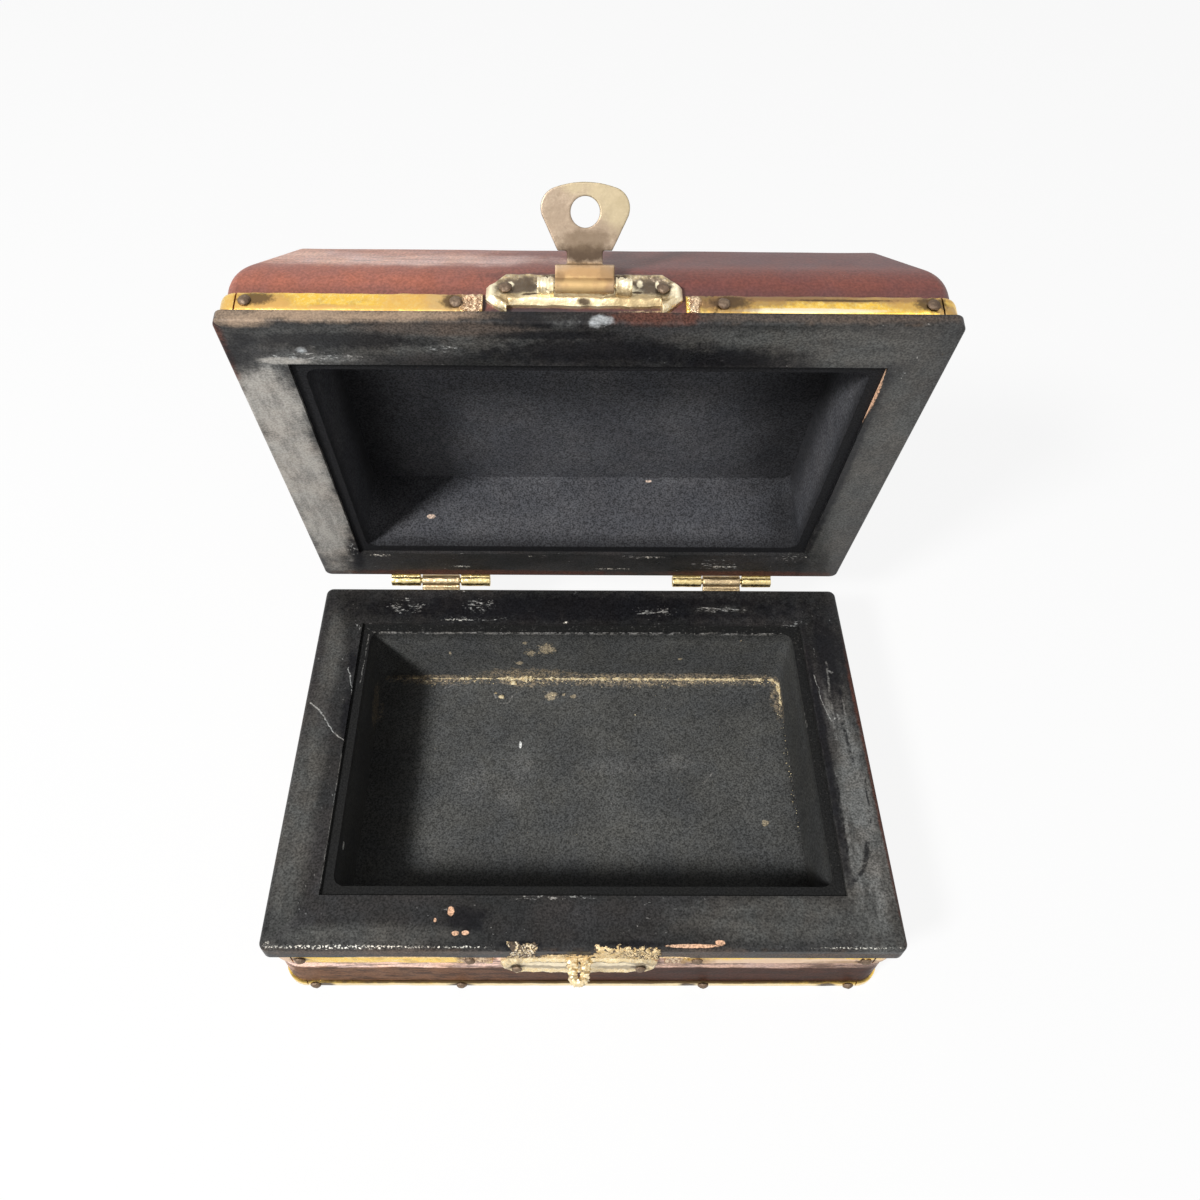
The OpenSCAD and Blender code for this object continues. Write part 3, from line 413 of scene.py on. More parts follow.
def lining(name, onLid):
    look = liningLook
    material = newMaterial(name, onLid)
    cloud = blotches(17, 4, 0.55, shift=3)
    colour = blendColour(ramp(cloud, 0.35, 0.7), look["dark"], look["dusty"])
    z = axisOf("Z")
    fine = blotches(0.7, 5, 0.7, shift=6)
    scuffs = times(ramp(blotches(1.0, 4, 0.7, shift=21), 0.68, 0.76), ramp(blotches(9, 3, 0.6, shift=2), 0.5, 0.66))
    colour = wash(colour, scuffs, 0.30, look["worn"])
    if onLid:
        edge = maths("MAXIMUM", ramp(z, 1.25, 0.85), times(ramp(z, 6.0, 0.8), 0.7))
        crumbs = spots([(-37.6, 32.9, 9.3, 1.1, 1, 0.65), (16.8, 32.9, 20.0, 0.8, 1, 0.4)], 0.3, 0.6, soft=0.1)
        colour = blendColour(edge, colour, look["edge"])
        # painted shade: the ends of the ceiling, the left wall and a corner by the hinge side darkened as if in shade
        paintedShade = spots([(54, 8, 22.6, 17, 42, 9), (-54, 8, 22.6, 10, 42, 9), (54, 34, 10, 9, 4, 14),
                       (-55.6, -4, 10, 2.4, 44, 14)], 0.25, 9, soft=0.6)
        colour = wash(colour, paintedShade, 0.75, look["edge"])
        light = (0.74, 0.56, 0.40)
    else:
        floorHeight = sizes["floor"]
        edge = maths("MAXIMUM", ramp(z, 23.2, 23.5), times(ramp(z, 19.0, 23.5), 0.55))
        colour = blendColour(edge, colour, look["edge"])
        # painted highlight: pale glints along the top edge of the back and right walls, the walls the lamp faces
        lit = maths("MAXIMUM", ramp(axisOf("Y"), 20, 30), times(ramp(axisOf("X"), 48, 52), 0.6))
        frayed = times(ramp(z, 22.8, 23.3), times(lit, ramp(fine, 0.58, 0.68)))
        colour = wash(colour, frayed, 0.3, look["worn"])
        crumbs = spots([
            (-14.3, 32.6, 19.2, 0.7, 1, 0.6), (-13.1, 32.6, 14.9, 1.5, 1, 1.5), (-9.0, 32.6, 16.6, 2.2, 1, 2.2),
            (-15.9, 32.6, 10.4, 1.2, 1, 0.8),
            (-33.7, 32.6, 14.7, 0.4, 1, 0.9), (25.6, 32.6, 12.5, 0.5, 1, 0.4), (40.3, 32.6, 20.5, 0.3, 1, 0.5),
            (-8, 27.8, floorHeight, 1.6, 1.2, 1), (44.3, -8.5, floorHeight, 0.9, 0.7, 1),
            (-1.8, 27.6, floorHeight, 0.8, 0.5, 1), (-4.4, 28.2, floorHeight, 0.4, 0.4, 1)], 1.3, 0.7)
        stain = spots([(-14, 32.9, 5.2, 12, 2.6, 2.6), (20, 32.9, 4.2, 36, 2.2, 1.6), (-38, 32.9, 3.9, 14, 2, 1.0),
                       (52.2, 28, 3.6, 2.0, 7, 1.4), (-52.3, 22, 7, 1.6, 6, 4)], 0.8, 1.2)
        colour = blendColour(times(times(stain, ramp(fine, 0.40, 0.60)), 0.62), colour, look["glue"])
        cloudy = spots([(-15, 6, floorHeight, 2.2, 4, 2), (-18, -1, floorHeight, 3, 4, 2),
                        (-26, 2, floorHeight, 4, 5, 2),
                        (12, 6, floorHeight, 9, 2.2, 2), (24, 8, floorHeight, 5, 2, 2)], 0.9, 2.4, soft=0.7)
        colour = blendColour(times(times(cloudy, ramp(fine, 0.35, 0.65)), 0.24), colour, look["worn"])
        # painted shadow: the side walls, and the floor along the front wall and the left wall, darkened as if in the
        # walls' shade
        paintedShade = spots([(52.8, -4, 12, 1.5, 32, 13), (-53, -2, 13, 1.6, 37, 15), (2, -33.5, floorHeight, 60, 14.0, 4),
                       (-50, 4, floorHeight, 7, 34, 3)], 0.2, 9, soft=0.7)
        colour = wash(colour, paintedShade, 0.55, look["edge"])
        rubbed = scratches([(-52.6, 33.2, 50.5, 33.3, 0.16, 0.35), (-53.0, 32.5, -53.4, 18, 0.14, 0.4),
                            (51.5, 32, 52.6, 6, 0.16, 0.5)])
        rubbed = times(times(rubbed, ramp(z, 22.6, 23.2)), ramp(blotches(1.1, 4, 0.7, shift=16), 0.42, 0.58))
        smudged = scratches([(-22.9, 28.5, -21.4, 25.4, 0.30, 0.6), (-21.4, 25.4, -19.0, 25.7, 0.34, 0.5),
                             (-19.0, 25.7, -17.9, 27.9, 0.30, 0.5),
                             (-8.8, 29.3, -7.4, 27.0, 0.35, 0.5),
                             (7.2, -2.8, 8.1, -4.4, 0.22, 0.4), (-36, 30, -33, 31.4, 0.2, 0.5),
                             (30, 2, 33, 5, 0.25, 0.6)])
        smudged = times(times(smudged, ramp(z, 4.2, 3.6)), ramp(blotches(0.9, 3, 0.6, shift=19), 0.36, 0.6))
        colour = wash(colour, rubbed, 0.8, look["worn"])
        colour = wash(colour, smudged, 0.75, look["worn"])
        pale = spots([(-15.4, 12.9, floorHeight, 0.35, 0.95, 1), (-52.6, -22, 19, 0.5, 0.9, 0.7)], 0.2, 0.8, soft=0.1)
        colour = blendColour(pale, colour, (0.8, 0.8, 0.78))
        light = (0.58, 0.47, 0.31)
    colour = wash(colour, crumbs, 0.8 if onLid else 0.55, light)
    tints = ((0.97, 0.96, 1.05), (0.96, 0.97, 1.08)) if onLid else ((1.01, 1.0, 0.96), (0.99, 1.0, 1.0))
    colour, grain = speckle(colour, look["grainSize"], 0.44, 1.62, tints=tints)
    rough = maths("MULTIPLY_ADD", grain, 0.25, look["rough"] - 0.12)
    relief([(grain, look["grainDepth"]), (blotches(5, 3, 0.5, shift=8), 0.10)])
    setShader(colour=colour, rough=rough, shine=look["shine"])
    return material


dress(lining("blackCardBase", False), "base_lining")
dress(lining("blackCardLid", True), "lid_lining")
print("linings painted")


# Oxblood leather cloth on the outside

# bloom is the pale tone of dry bloom and of painted sheen on the lid; rubbed is the pale pink of the painted glare on
# the base's front, also used at its two ends
leatherLook = dict(
    lidBright=(0.375, 0.138, 0.092), lidDeep=(0.178, 0.058, 0.045), bloom=(0.86, 0.61, 0.51),
    soot=(0.085, 0.045, 0.042),
    baseBright=(0.170, 0.090, 0.050), baseDeep=(0.058, 0.024, 0.016), rubbed=(0.98, 0.70, 0.56),
    pebbleSize=0.5, pebbleDepth=0.030, creaseDepth=0.07, smooth=0.36, dull=0.52, lidShine=0.35, baseShine=0.05,
)


def leather(name, onLid):
    look = leatherLook
    material = newMaterial(name, onLid)
    pebble = put("ShaderNodeTexVoronoi", {
        "Vector": vectors("MULTIPLY", place, (1 / look["pebbleSize"],) * 3)[0], "Scale": 1.0},
                 feature="SMOOTH_F1").outputs["Distance"]
    cloud = blotches(10, 4, 0.6)
    x = axisOf("X")
    z = axisOf("Z")
    y = axisOf("Y")
    # lighter towards the left end: partly faded cloth, partly painted light falling stronger there
    fadedAndLit = maths("ADD", ramp(x, 12, -42), maths("MULTIPLY_ADD", cloud, 0.7, -0.35), clamp=True)
    if onLid:
        colour = blendColour(fadedAndLit, look["lidDeep"], look["lidBright"])
        front = ramp(y, -30, -38)
        streak = blotches(0.9, 4, 0.65, stretch=(18, 1, 1), shift=4)
        # pale patches on the upper left: partly dry bloom of the cloth, partly painted sheen
        dryBloomAndSheen = times(spots([(-36, -41, 18.4, 27, 4.5, 3.8), (-55, -36, 20, 10, 12, 4.5)], 0.7, 6, soft=0.5),
                    maths("MULTIPLY_ADD", ramp(streak, 0.32, 0.6), 0.6, 0.4))
        colour = wash(colour, dryBloomAndSheen, 0.9, look["bloom"])
        # paler along the upper front, more to the left: partly bloom, partly painted sheen
        high = times(times(front, ramp(z, 15.5, 19)),
                     ramp(blotches(4, 4, 0.6, stretch=(4, 1, 1), shift=6), 0.35, 0.7))
        high = times(high, maths("MULTIPLY_ADD", fadedAndLit, 0.45, 0.02))
        colour = blendColour(high, colour, look["bloom"])
        grimy = times(ramp(streak, 0.60, 0.72), ramp(z, 14, 20))
        colour = wash(colour, grimy, 0.55, look["soot"])
    else:
        colour = blendColour(fadedAndLit, look["baseDeep"], look["baseBright"])
        front = ramp(y, -40, -44)
        # painted reflection: the pale pink rubbed band along the upper front of the base is glare, fading to the
        # right
        uneven = maths("MULTIPLY_ADD", blotches(2.6, 4, 0.65, stretch=(3, 1, 1), shift=17), 4.0,
                       maths("SUBTRACT", z, 2.0))
        zone = times(ramp(uneven, 10.6, 11.8), ramp(blotches(3, 3, 0.6, stretch=(10, 1, 1), shift=5), 0.2, 0.5))
        rubbed = times(times(front, zone),
                       put("ShaderNodeMapRange", {0: x, 1: -30, 2: 60, 3: 0.97, 4: 0.40}).outputs[0])
        colour = blendColour(rubbed, colour, look["rubbed"])
        ends = spots([(-63.5, -43, 9, 2.4, 3, 5), (63.5, -43, 9, 2.4, 3, 5)], 0.7, 1.6)
        colour = wash(colour, ends, 0.5, look["rubbed"])
        grimed = ramp(blotches(1.3, 5, 0.7, stretch=(5, 1, 1), shift=14), 0.46, 0.60)
        colour = wash(colour, grimed, 0.7, (0.030, 0.017, 0.012))
    if onLid:  # black and red-brown beneath and beside the hasp's plate: black paint, and painted shadow under the plate and at its ends
        near = sizes["haspX"]
        # black paint with painted shadow under the plate and beside its ends
        painted = spots([(near - 8, -46, 2.6, 11, 3, 1.7), (near + 3, -46, 2.6, 5, 3, 1.3),
                         (near - 18.2, -46, 4.6, 1.1, 3, 2.4)], 0.3, 1.4)
        colour = blendColour(painted, colour, (0.012, 0.013, 0.016))
        dusky = spots([(near, -45.9, 11.6, 17, 3, 1.4), (near + 11, -46, 3.0, 8, 3, 1.4),
                       (near + 18.2, -46, 5, 1.1, 3, 2.4)], 0.6, 1.6, soft=0.5)
        colour = wash(colour, dusky, 0.7, look["soot"])
        gilt = spots([(near + 10.5, -46, 3.0, 5.5, 3, 0.7)], 0.5, 1.2)
        patchy = ramp(blotches(0.6, 3, 0.6, shift=6), 0.42, 0.6)
        colour = blendColour(gilt, colour, blendColour(patchy, (0.10, 0.065, 0.035), (0.80, 0.62, 0.34)))
        right = times(ramp(x, 8, 22), times(front, ramp(z, 15, 18.5)))
        colour = wash(colour, right, 0.6, (0.085, 0.030, 0.032))
        low = times(times(front, ramp(z, 10.5, 7.0)), 0.5)
        colour = blendColour(low, colour, look["soot"])
    scraps = ramp(blotches(2.2, 5, 0.7, shift=9), 0.70, 0.75)
    colour = wash(colour, scraps, 0.35, look["bloom"])
    colour, grain = speckle(colour, 0.50, 0.80, 1.21, tints=((1.06, 0.97, 0.92), (0.94, 0.95, 1.04)))
    rough = maths("MULTIPLY_ADD", cloud, look["dull"] - look["smooth"], look["smooth"])
    relief([(pebble, look["pebbleDepth"]), (blotches(4, 4, 0.6, shift=1), look["creaseDepth"])])
    setShader(colour=colour, rough=rough, shine=look["lidShine" if onLid else "baseShine"])
    return material


lidLeather = leather("oxbloodClothLid", True)
baseLeather = leather("oxbloodClothBase", False)
dress(baseLeather, "base_cover")


# Points on an arc in degrees, with the way out from each
def arc(cx, cy, radius, start, sweep, steps, first=0):
    turns = [math.radians(start + sweep * s / steps) for s in range(first, steps + 1)]
    return [(cx + radius * math.cos(a), cy + radius * math.sin(a), math.cos(a), math.sin(a)) for a in turns]


# Points around a rounded rectangle, with the way out from each
def roundAbout(halfX, halfY, radius, cornerSteps, counts):
    points = []
    corners = [(1, 1, 0), (-1, 1, 90), (-1, -1, 180), (1, -1, 270)]
    for k, (sx, sy, start) in enumerate(corners):
        cx, cy = sx * (halfX - radius), sy * (halfY - radius)
        points += arc(cx, cy, radius, start, 90, cornerSteps)
        nx, ny, _ = corners[(k + 1) % 4]
        a = math.radians(start + 90)
        endX, endY = nx * (halfX - radius) + radius * math.cos(a), ny * (halfY - radius) + radius * math.sin(a)
        x, y = points[-1][0], points[-1][1]
        count = counts[k % 2]
        for s in range(1, count):
            points.append((x + (endX - x) * s / count, y + (endY - y) * s / count, math.cos(a), math.sin(a)))
    return points


# A mesh from millimetres in the base's frame, or in the shut lid's frame for the lid
def makePiece(name, points, faces, material, body, stands=(), sharp=40):
    mesh = bpy.data.meshes.new(name)
    turn = lidPlace if body == "lid" else Matrix.Identity(4)
    mesh.from_pydata([turn @ (Vector(p) * mm) for p in points], [], faces)
    mesh.validate()
    mesh.update()
    mesh.shade_smooth()
    mesh.set_sharp_from_angle(angle=math.radians(sharp))
    piece = bpy.data.objects.new(name, mesh)
    bpy.context.scene.collection.objects.link(piece)
    piece.data.materials.append(material)
    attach(piece, body)
    if stands:
        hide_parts(*stands)
    return piece


# Faces of a grid of rows by columns; wrap joins the last column to the first
def gridFaces(rows, columns, wrap=False, flip=False):
    faces = []
    for j in range(rows - 1):
        for s in range(columns if wrap else columns - 1):
            t = (s + 1) % columns
            face = (j * columns + s, j * columns + t, (j + 1) * columns + t, (j + 1) * columns + s)
            faces.append(tuple(reversed(face)) if flip else face)
    return faces


# Faces of a tube of rings, closed at both ends
def tubeFaces(rows, columns, flip=False):
    ends = [tuple(reversed(range(columns))), tuple(range((rows - 1) * columns, rows * columns))]
    return gridFaces(rows, columns, True, flip) + [tuple(reversed(end)) if flip else end for end in ends]


def wander(point, size, seed):
    return noise.noise(Vector(point) / size + Vector((seed * 7.3, seed * 3.1, seed * 5.7)))


lidSkin = dict(cornerSteps=10, counts=(44, 30), arcSteps=9, wave=0.07, waveSize=11, thick=0.46)


def makeLidSkin():
    look = lidSkin
    step0, lean = sizes["panelStep"], math.radians(sizes["lean"])
    radius, shoulder, high, top = sizes["shoulderRadius"], sizes["shoulder"], sizes["lidHeight"], sizes["topRadius"]
    profile = [(step0, sizes["lidLip"]), (step0, sizes["lidLip"] + 2.2), (step0, sizes["lidLip"] + 4.4)]
    for k in range(look["arcSteps"] + 1):
        a = lean * k / look["arcSteps"]
        profile.append((step0 + radius * (1 - math.cos(a)), shoulder + radius * math.sin(a)))
    lowIn, lowZ = profile[-1]
    topZ = high - top
    topIn = lowIn + (topZ + top * math.sin(lean) - lowZ) * math.tan(lean) + top * math.cos(lean)
    startIn, startZ = topIn - top * math.cos(lean), topZ + top * math.sin(lean)
    for k in range(1, 4):
        profile.append((lowIn + (startIn - lowIn) * k / 4, lowZ + (startZ - lowZ) * k / 4))
    for k in range(7):
        a = lean + (math.pi / 2 - lean) * k / 6
        profile.append((topIn - top * math.cos(a), topZ + top * math.sin(a)))
    inset = topIn
    while inset < halfDepth - sizes["lidCorner"] - 4:
        inset += 4
        profile.append((inset, high))
    points = []
    for inset, z in profile:
        for x, y, outX, outY in roundAbout(halfWidth - inset, halfDepth - inset, sizes["lidCorner"],
                                           look["cornerSteps"], look["counts"]):
            shift = look["wave"] * wander((x, y, z), look["waveSize"], 1)
            if z < sizes["lidLip"] + 5:
                shift *= 0.3
            points.append((x + outX * shift, y + outY * shift, z + (shift if z > high - 1 else 0)))
    count = len(points) // len(profile)
    faces = gridFaces(len(profile), count, wrap=True)
    faces.append(tuple(range((len(profile) - 1) * count, len(profile) * count)))
    piece = makePiece("lid_leather_skin", points, faces, lidLeather, "lid", ["lid_cover"], 60)
    shell = piece.modifiers.new("thickness", "SOLIDIFY")
    shell.thickness, shell.offset = look["thick"] * mm, -1


makeLidSkin()
print("leather on")


# Brass: bands, hasp, hinges and nails

brassLook = dict(
    band=dict(bright=(0.98, 0.62, 0.10), pale=(1.0, 0.79, 0.29),
              brown=(0.30, 0.165, 0.070), dirt=(0.050, 0.032, 0.022),
              rough=0.24, tarnish=0.35, dentSize=2.6, dentDepth=0.20, scratch=0.012),
    plate=dict(bright=(0.80, 0.62, 0.34), pale=(0.95, 0.86, 0.64),
               brown=(0.20, 0.145, 0.10), dirt=(0.035, 0.028, 0.022),
               rough=0.27, tarnish=0.55, dentSize=1.5, dentDepth=0.22, scratch=0.016),
    strap=dict(bright=(0.37, 0.28, 0.20), pale=(0.46, 0.36, 0.26),
               brown=(0.26, 0.19, 0.125), dirt=(0.10, 0.070, 0.045),
               rough=0.42, tarnish=0.35, dentSize=4.0, dentDepth=0.10, scratch=0.014),
    hinge=dict(bright=(0.66, 0.51, 0.22), pale=(0.86, 0.75, 0.45),
               brown=(0.30, 0.22, 0.10), dirt=(0.05, 0.04, 0.025),
               rough=0.26, tarnish=0.60, dentSize=0.8, dentDepth=0.07, scratch=0.012),
    nail=dict(bright=(0.150, 0.100, 0.066), pale=(0.25, 0.18, 0.12),
              brown=(0.075, 0.050, 0.036), dirt=(0.030, 0.021, 0.017),
              rough=0.55, tarnish=0.7, dentSize=0.9, dentDepth=0.12, scratch=0.02),
)


# Six values are a whole spot; fewer leave out the face's own y, and a reach of 2 out from it
def onFace(face, spot):
    if len(spot) == 6:
        return spot
    x, z, rx, *ry, rz = spot
    return (face[0] + x, face[1], z, rx, *(ry or (2,)), rz)


# Washes are (tone, strength, fray, fraying size, spots); face is the x and y that short spots start from
def brass(name, kind, onLid=False, washes=(), face=(0, 0), knurl=None, crushed=(), metal=1.0):
    look = brassLook[kind]
    material = newMaterial(name, onLid)
    cloud = blotches(3.5, 5, 0.65)
    fine = blotches(0.45, 4, 0.65, shift=6)
    scratch = blotches(0.14, 2, 0.5, stretch=(30, 1, 1), shift=3, bend=0.4)
    colour = blendColour(ramp(fine, 0.4, 0.75), look["bright"], look["pale"])
    aged = times(ramp(cloud, 0.50, 0.68), look["tarnish"])
    colour = blendColour(aged, colour, look["brown"])
    grime = ramp(blotches(1.3, 5, 0.7, shift=8), 0.66, 0.73)
    colour = wash(colour, grime, 0.5 * look["tarnish"] + 0.1, look["dirt"])
    rough = maths("MULTIPLY_ADD", aged, 0.35, look["rough"])
    for k, (tone, strong, fray, size, listed) in enumerate(washes):
        listed = [onFace(face, spot) for spot in listed]
        mask = times(spots(listed, fray, size, shift=k + 2, soft=0.35), strong)
        colour = blendColour(mask, colour, tone)
        rough = maths("MULTIPLY_ADD", mask, 0.12, rough)
    heights = [(blotches(look["dentSize"], 3, 0.55, shift=1), look["dentDepth"]), (scratch, look["scratch"])]
    if knurl:
        heights.append((blotches(knurl, 2, 0.5, shift=11), 0.10))
    if crushed:  # foil folded into small creases, coppery and pale by turns
        mask = spots([onFace(face, spot) for spot in crushed], 0.7, 0.9, soft=0.4)
        folds = blotches(0.75, 4, 0.6, stretch=(0.7, 1, 1.5), shift=17)
        folded = blendColour(ramp(folds, 0.42, 0.58), (0.42, 0.26, 0.16), (0.88, 0.68, 0.46))
        colour = blendColour(mask, colour, folded)
        heights.append((times(mask, folds), 0.9))
    relief(heights)
    setShader(colour=colour, rough=rough, metal=metal)
    return material


baseNailX = halfWidth - 1 - sizes["baseCorner"] - sizes["stripGap"] - 1.5
front = -halfDepth
dirtBrown = (0.085, 0.055, 0.035)
tarnishBrown = (0.34, 0.20, 0.10)
orangeBrass = (0.80, 0.47, 0.16)
creamGold = (0.96, 0.86, 0.62)
agedSides = [(way * halfWidth, at, high, 3, reach, 3) for way, at, high, reach in (
    (1, -24, 4, 9), (1, 6, 18, 12), (1, 30, 3, 10), (-1, -30, 17, 8), (-1, 2, 3, 12), (-1, 28, 18, 9),
    (1, -36, 17, 6))]
agedSides += [(at, halfDepth, high, reach, 3, 3) for at, high, reach in (
    (-48, 4, 10), (-16, 18, 12), (14, 3, 9), (44, 17, 12), (58, 4, 6))]
bandLid = brass("bandBrassLid", "band", True, [
    ((0.50, 0.31, 0.13), 0.6, 0.9, 5, agedSides),
    ((0.55, 0.33, 0.12), 0.7, 0.8, 2.0, [(-56, 4.4, 4.2, 1.8), (-46, 3.2, 3, 0.8), (56, 5.0, 4.5, 1.6)]),
    (orangeBrass, 0.6, 0.5, 3, [(-60, 3.6, 9, 2.6), (-44, 2.9, 26, 0.9), (-28, 4.8, 9, 3)]),
    ((0.60, 0.42, 0.22), 0.6, 0.5, 2.0, [(-24, 4.6, 4.6, 3)]),
    ((0.15, 0.10, 0.055), 0.85, 0.45, 1.3, [(31, 6.5, 15, 1.2), (22, 5.4, 4.4, 1.6)]),
    (creamGold, 0.9, 0.25, 1.0, [(38, 3.3, 13, 0.5)]),
    (tarnishBrown, 0.75, 0.7, 1.6,
     [(-21.5, 5.0, 3.6, 2.4), (29, 5.6, 10, 1.6), (46, 6.0, 18, 0.9), (24, 4.2, 6, 2.2), (62.5, 3.4, 2.5, 3, 1.4)]),
    (dirtBrown, 0.85, 0.6, 0.8, [(-58.4, 5.2, 3.2, 1.4), (-24.0, 4.9, 2.0, 1.5),
                                 (24.4, 5.0, 3.6, 1.4), (59.8, 5.0, 2.8, 1.6), (44, 5.6, 9, 0.25)]),
], face=(0, front), crushed=[(-20.4, 4.7, 2.0, 3, 3), (18.2, 4.7, 1.0, 3, 3)])
bandBase = brass("bandBrassBase", "band", False, [
    ((0.50, 0.31, 0.13), 0.6, 0.9, 5, agedSides),
    # pale along the foot band is painted highlight; pink on the main band's lower half is painted reflection of the
    # cloth
    ((0.97, 0.90, 0.70), 0.6, 0.5, 5, [(0, 1.0, 80, 3, 1.2)]),
    ((0.80, 0.58, 0.47), 0.8, 0.4, 3, [(46, 17.0, 26, 2.0), (-62, 17.5, 4, 3, 2.2)]),
    (tarnishBrown, 0.7, 0.6, 1.6, [(20, 17.6, 6, 3), (56, 16.6, 9, 1.2), (-21, 18, 4, 2)]),
    (dirtBrown, 0.85, 0.6, 0.8, [(-baseNailX, 18.2, 2, 1.0), (-23.4, 18.9, 2.4, 1.2), (baseNailX, 17.6, 2.0, 1.0)]),
    (dirtBrown, 0.95, 0.35, 1.6,
     [(0, 2.8, 75, 3, 0.75), (-56, 1.4, 2.0, 1.4), (-26.5, 1.4, 2.6, 1.3), (23, 1.4, 1.8, 1.2), (53.5, 1.4, 2, 1.4)]),
], face=(0, front), crushed=[(-22, 18, 3.4, 3, 3), (18.5, 18, 2.0, 3, 3)])

bandShape = dict(run=0.8, fineRun=0.3, cornerSteps=8, dent=0.14, dentSize=4.0, edge=0.16, edgeSize=2.6, rows=9,
                 crumple=0.35)


# Section of a band as (out, up) with a softly domed face
def bandSection(thick, high, rows):
    corner = [(0.0, 0.0), (thick * 0.5, 0.0), (thick * 0.85, high * 0.08), (thick, high * 0.2)]
    middle = [(thick, high * (0.2 + 0.6 * k / rows)) for k in range(1, rows)]
    return corner + middle + [(thick, high * 0.8), (thick * 0.85, high * 0.92), (thick * 0.5, high), (0.0, high)]


# Crumpled lists (x, reach) of places along the front where the foil is wrinkled
def makeBand(name, path, low, high, thick, material, body, stands, seed, crumpled=()):
    look = bandShape
    section = bandSection(thick, high, look["rows"] if high > 3 else 4)
    points, count = [], len(section)
    for k, (x, y, outX, outY) in enumerate(path):
        end = min(1.0, min(k, len(path) - 1 - k) / 2)
        wrinkle = sum(math.exp(-((x - at) / reach) ** 2) for at, reach in crumpled)
        for out, up in section:
            dented = look["dent"] * wander((x, y, up), look["dentSize"], seed)
            folds = wander((x * 1.5, y, up), 0.9, seed + 5) + 0.6 * wander((x * 2.5, up, y), 0.7, seed + 6)
            dented += look["crumple"] * wrinkle * folds
            edgeSeed = seed + (3 if up > high / 2 else 8)
            wavy = look["edge"] * wander((x, y, 0), look["edgeSize"], edgeSeed) * abs(2 * up / high - 1)
            reach = out + max(-0.6 * out, min(0.3 * out * wrinkle, dented * end)) if out else out
            points.append((x + outX * reach, y + outY * reach, low + up + wavy))
    return makePiece(name, points, tubeFaces(len(path), count), material, body, stands, 38)


def straight(x0, x1, y, outY, run):
    count = max(2, int(abs(x1 - x0) / run))
    return [(x0 + (x1 - x0) * k / count, y, 0, outY) for k in range(count + 1)]


# Along one side, round both its corners
def aroundSide(way, radius, run):
    w, d = halfWidth - sizes["panelStep"], panelY
    steps = bandShape["cornerSteps"]
    path = arc(w - radius, -(d - radius), radius, -90, 90, steps)
    count = int(2 * (d - radius) / run)
    for s in range(1, count):
        path.append((w, -(d - radius) + 2 * (d - radius) * s / count, 1, 0))
    path += arc(w - radius, d - radius, radius, 0, 90, steps)
    return [(way * x, y, way * ox, oy) for x, y, ox, oy in path]


def bandSet(body, names, low, high, thick, radius, material, room, crumpled=()):
    run = bandShape["run"]
    d = panelY
    reach = halfWidth - sizes["panelStep"] - radius - sizes["stripGap"]
    jobs = {}
    if room:
        gap = room / 2 + sizes["plateEnd"]
        jobs[names + "front_left"] = straight(-reach, sizes["haspX"] - gap, -d, -1, bandShape["fineRun"])
        jobs[names + "front_right"] = straight(sizes["haspX"] + gap, reach, -d, -1, bandShape["fineRun"])
    else:
        jobs[names + "front"] = straight(-reach, reach, -d, -1, run)
    jobs[names + "back"] = straight(-reach, reach, d, 1, run)
    jobs[names + "left"] = aroundSide(-1, radius, run)
    jobs[names + "right"] = aroundSide(1, radius, run)
    for seed, (node, path) in enumerate(jobs.items()):
        makeBand(node + "_strip", path, low, high, thick, material, body, [node], seed + len(names),
                 crumpled if "front" in node else ())


baseBandLow = sizes["baseHeight"] - sizes["baseLip"] - sizes["bandHeight"]
bandSet("base", "base_band_", baseBandLow, sizes["bandHeight"], sizes["bandThick"], sizes["baseCorner"], bandBase,
        sizes["plateRoom"], [(-21, 3), (21, 4), (58, 3)])
bandSet("base", "foot_band_", sizes["footUp"], sizes["footHeight"], sizes["footThick"], sizes["baseCorner"], bandBase,
        None)
bandSet("lid", "lid_band_", sizes["lidLip"], sizes["bandHeight"], sizes["bandThick"], sizes["lidCorner"], bandLid,
        sizes["plateRoom"], [(-21, 3.5), (22, 3.5), (61, 2.5)])
print("bands on")

x0 = sizes["haspX"]
plateFront = -(panelY + sizes["plateThick"])
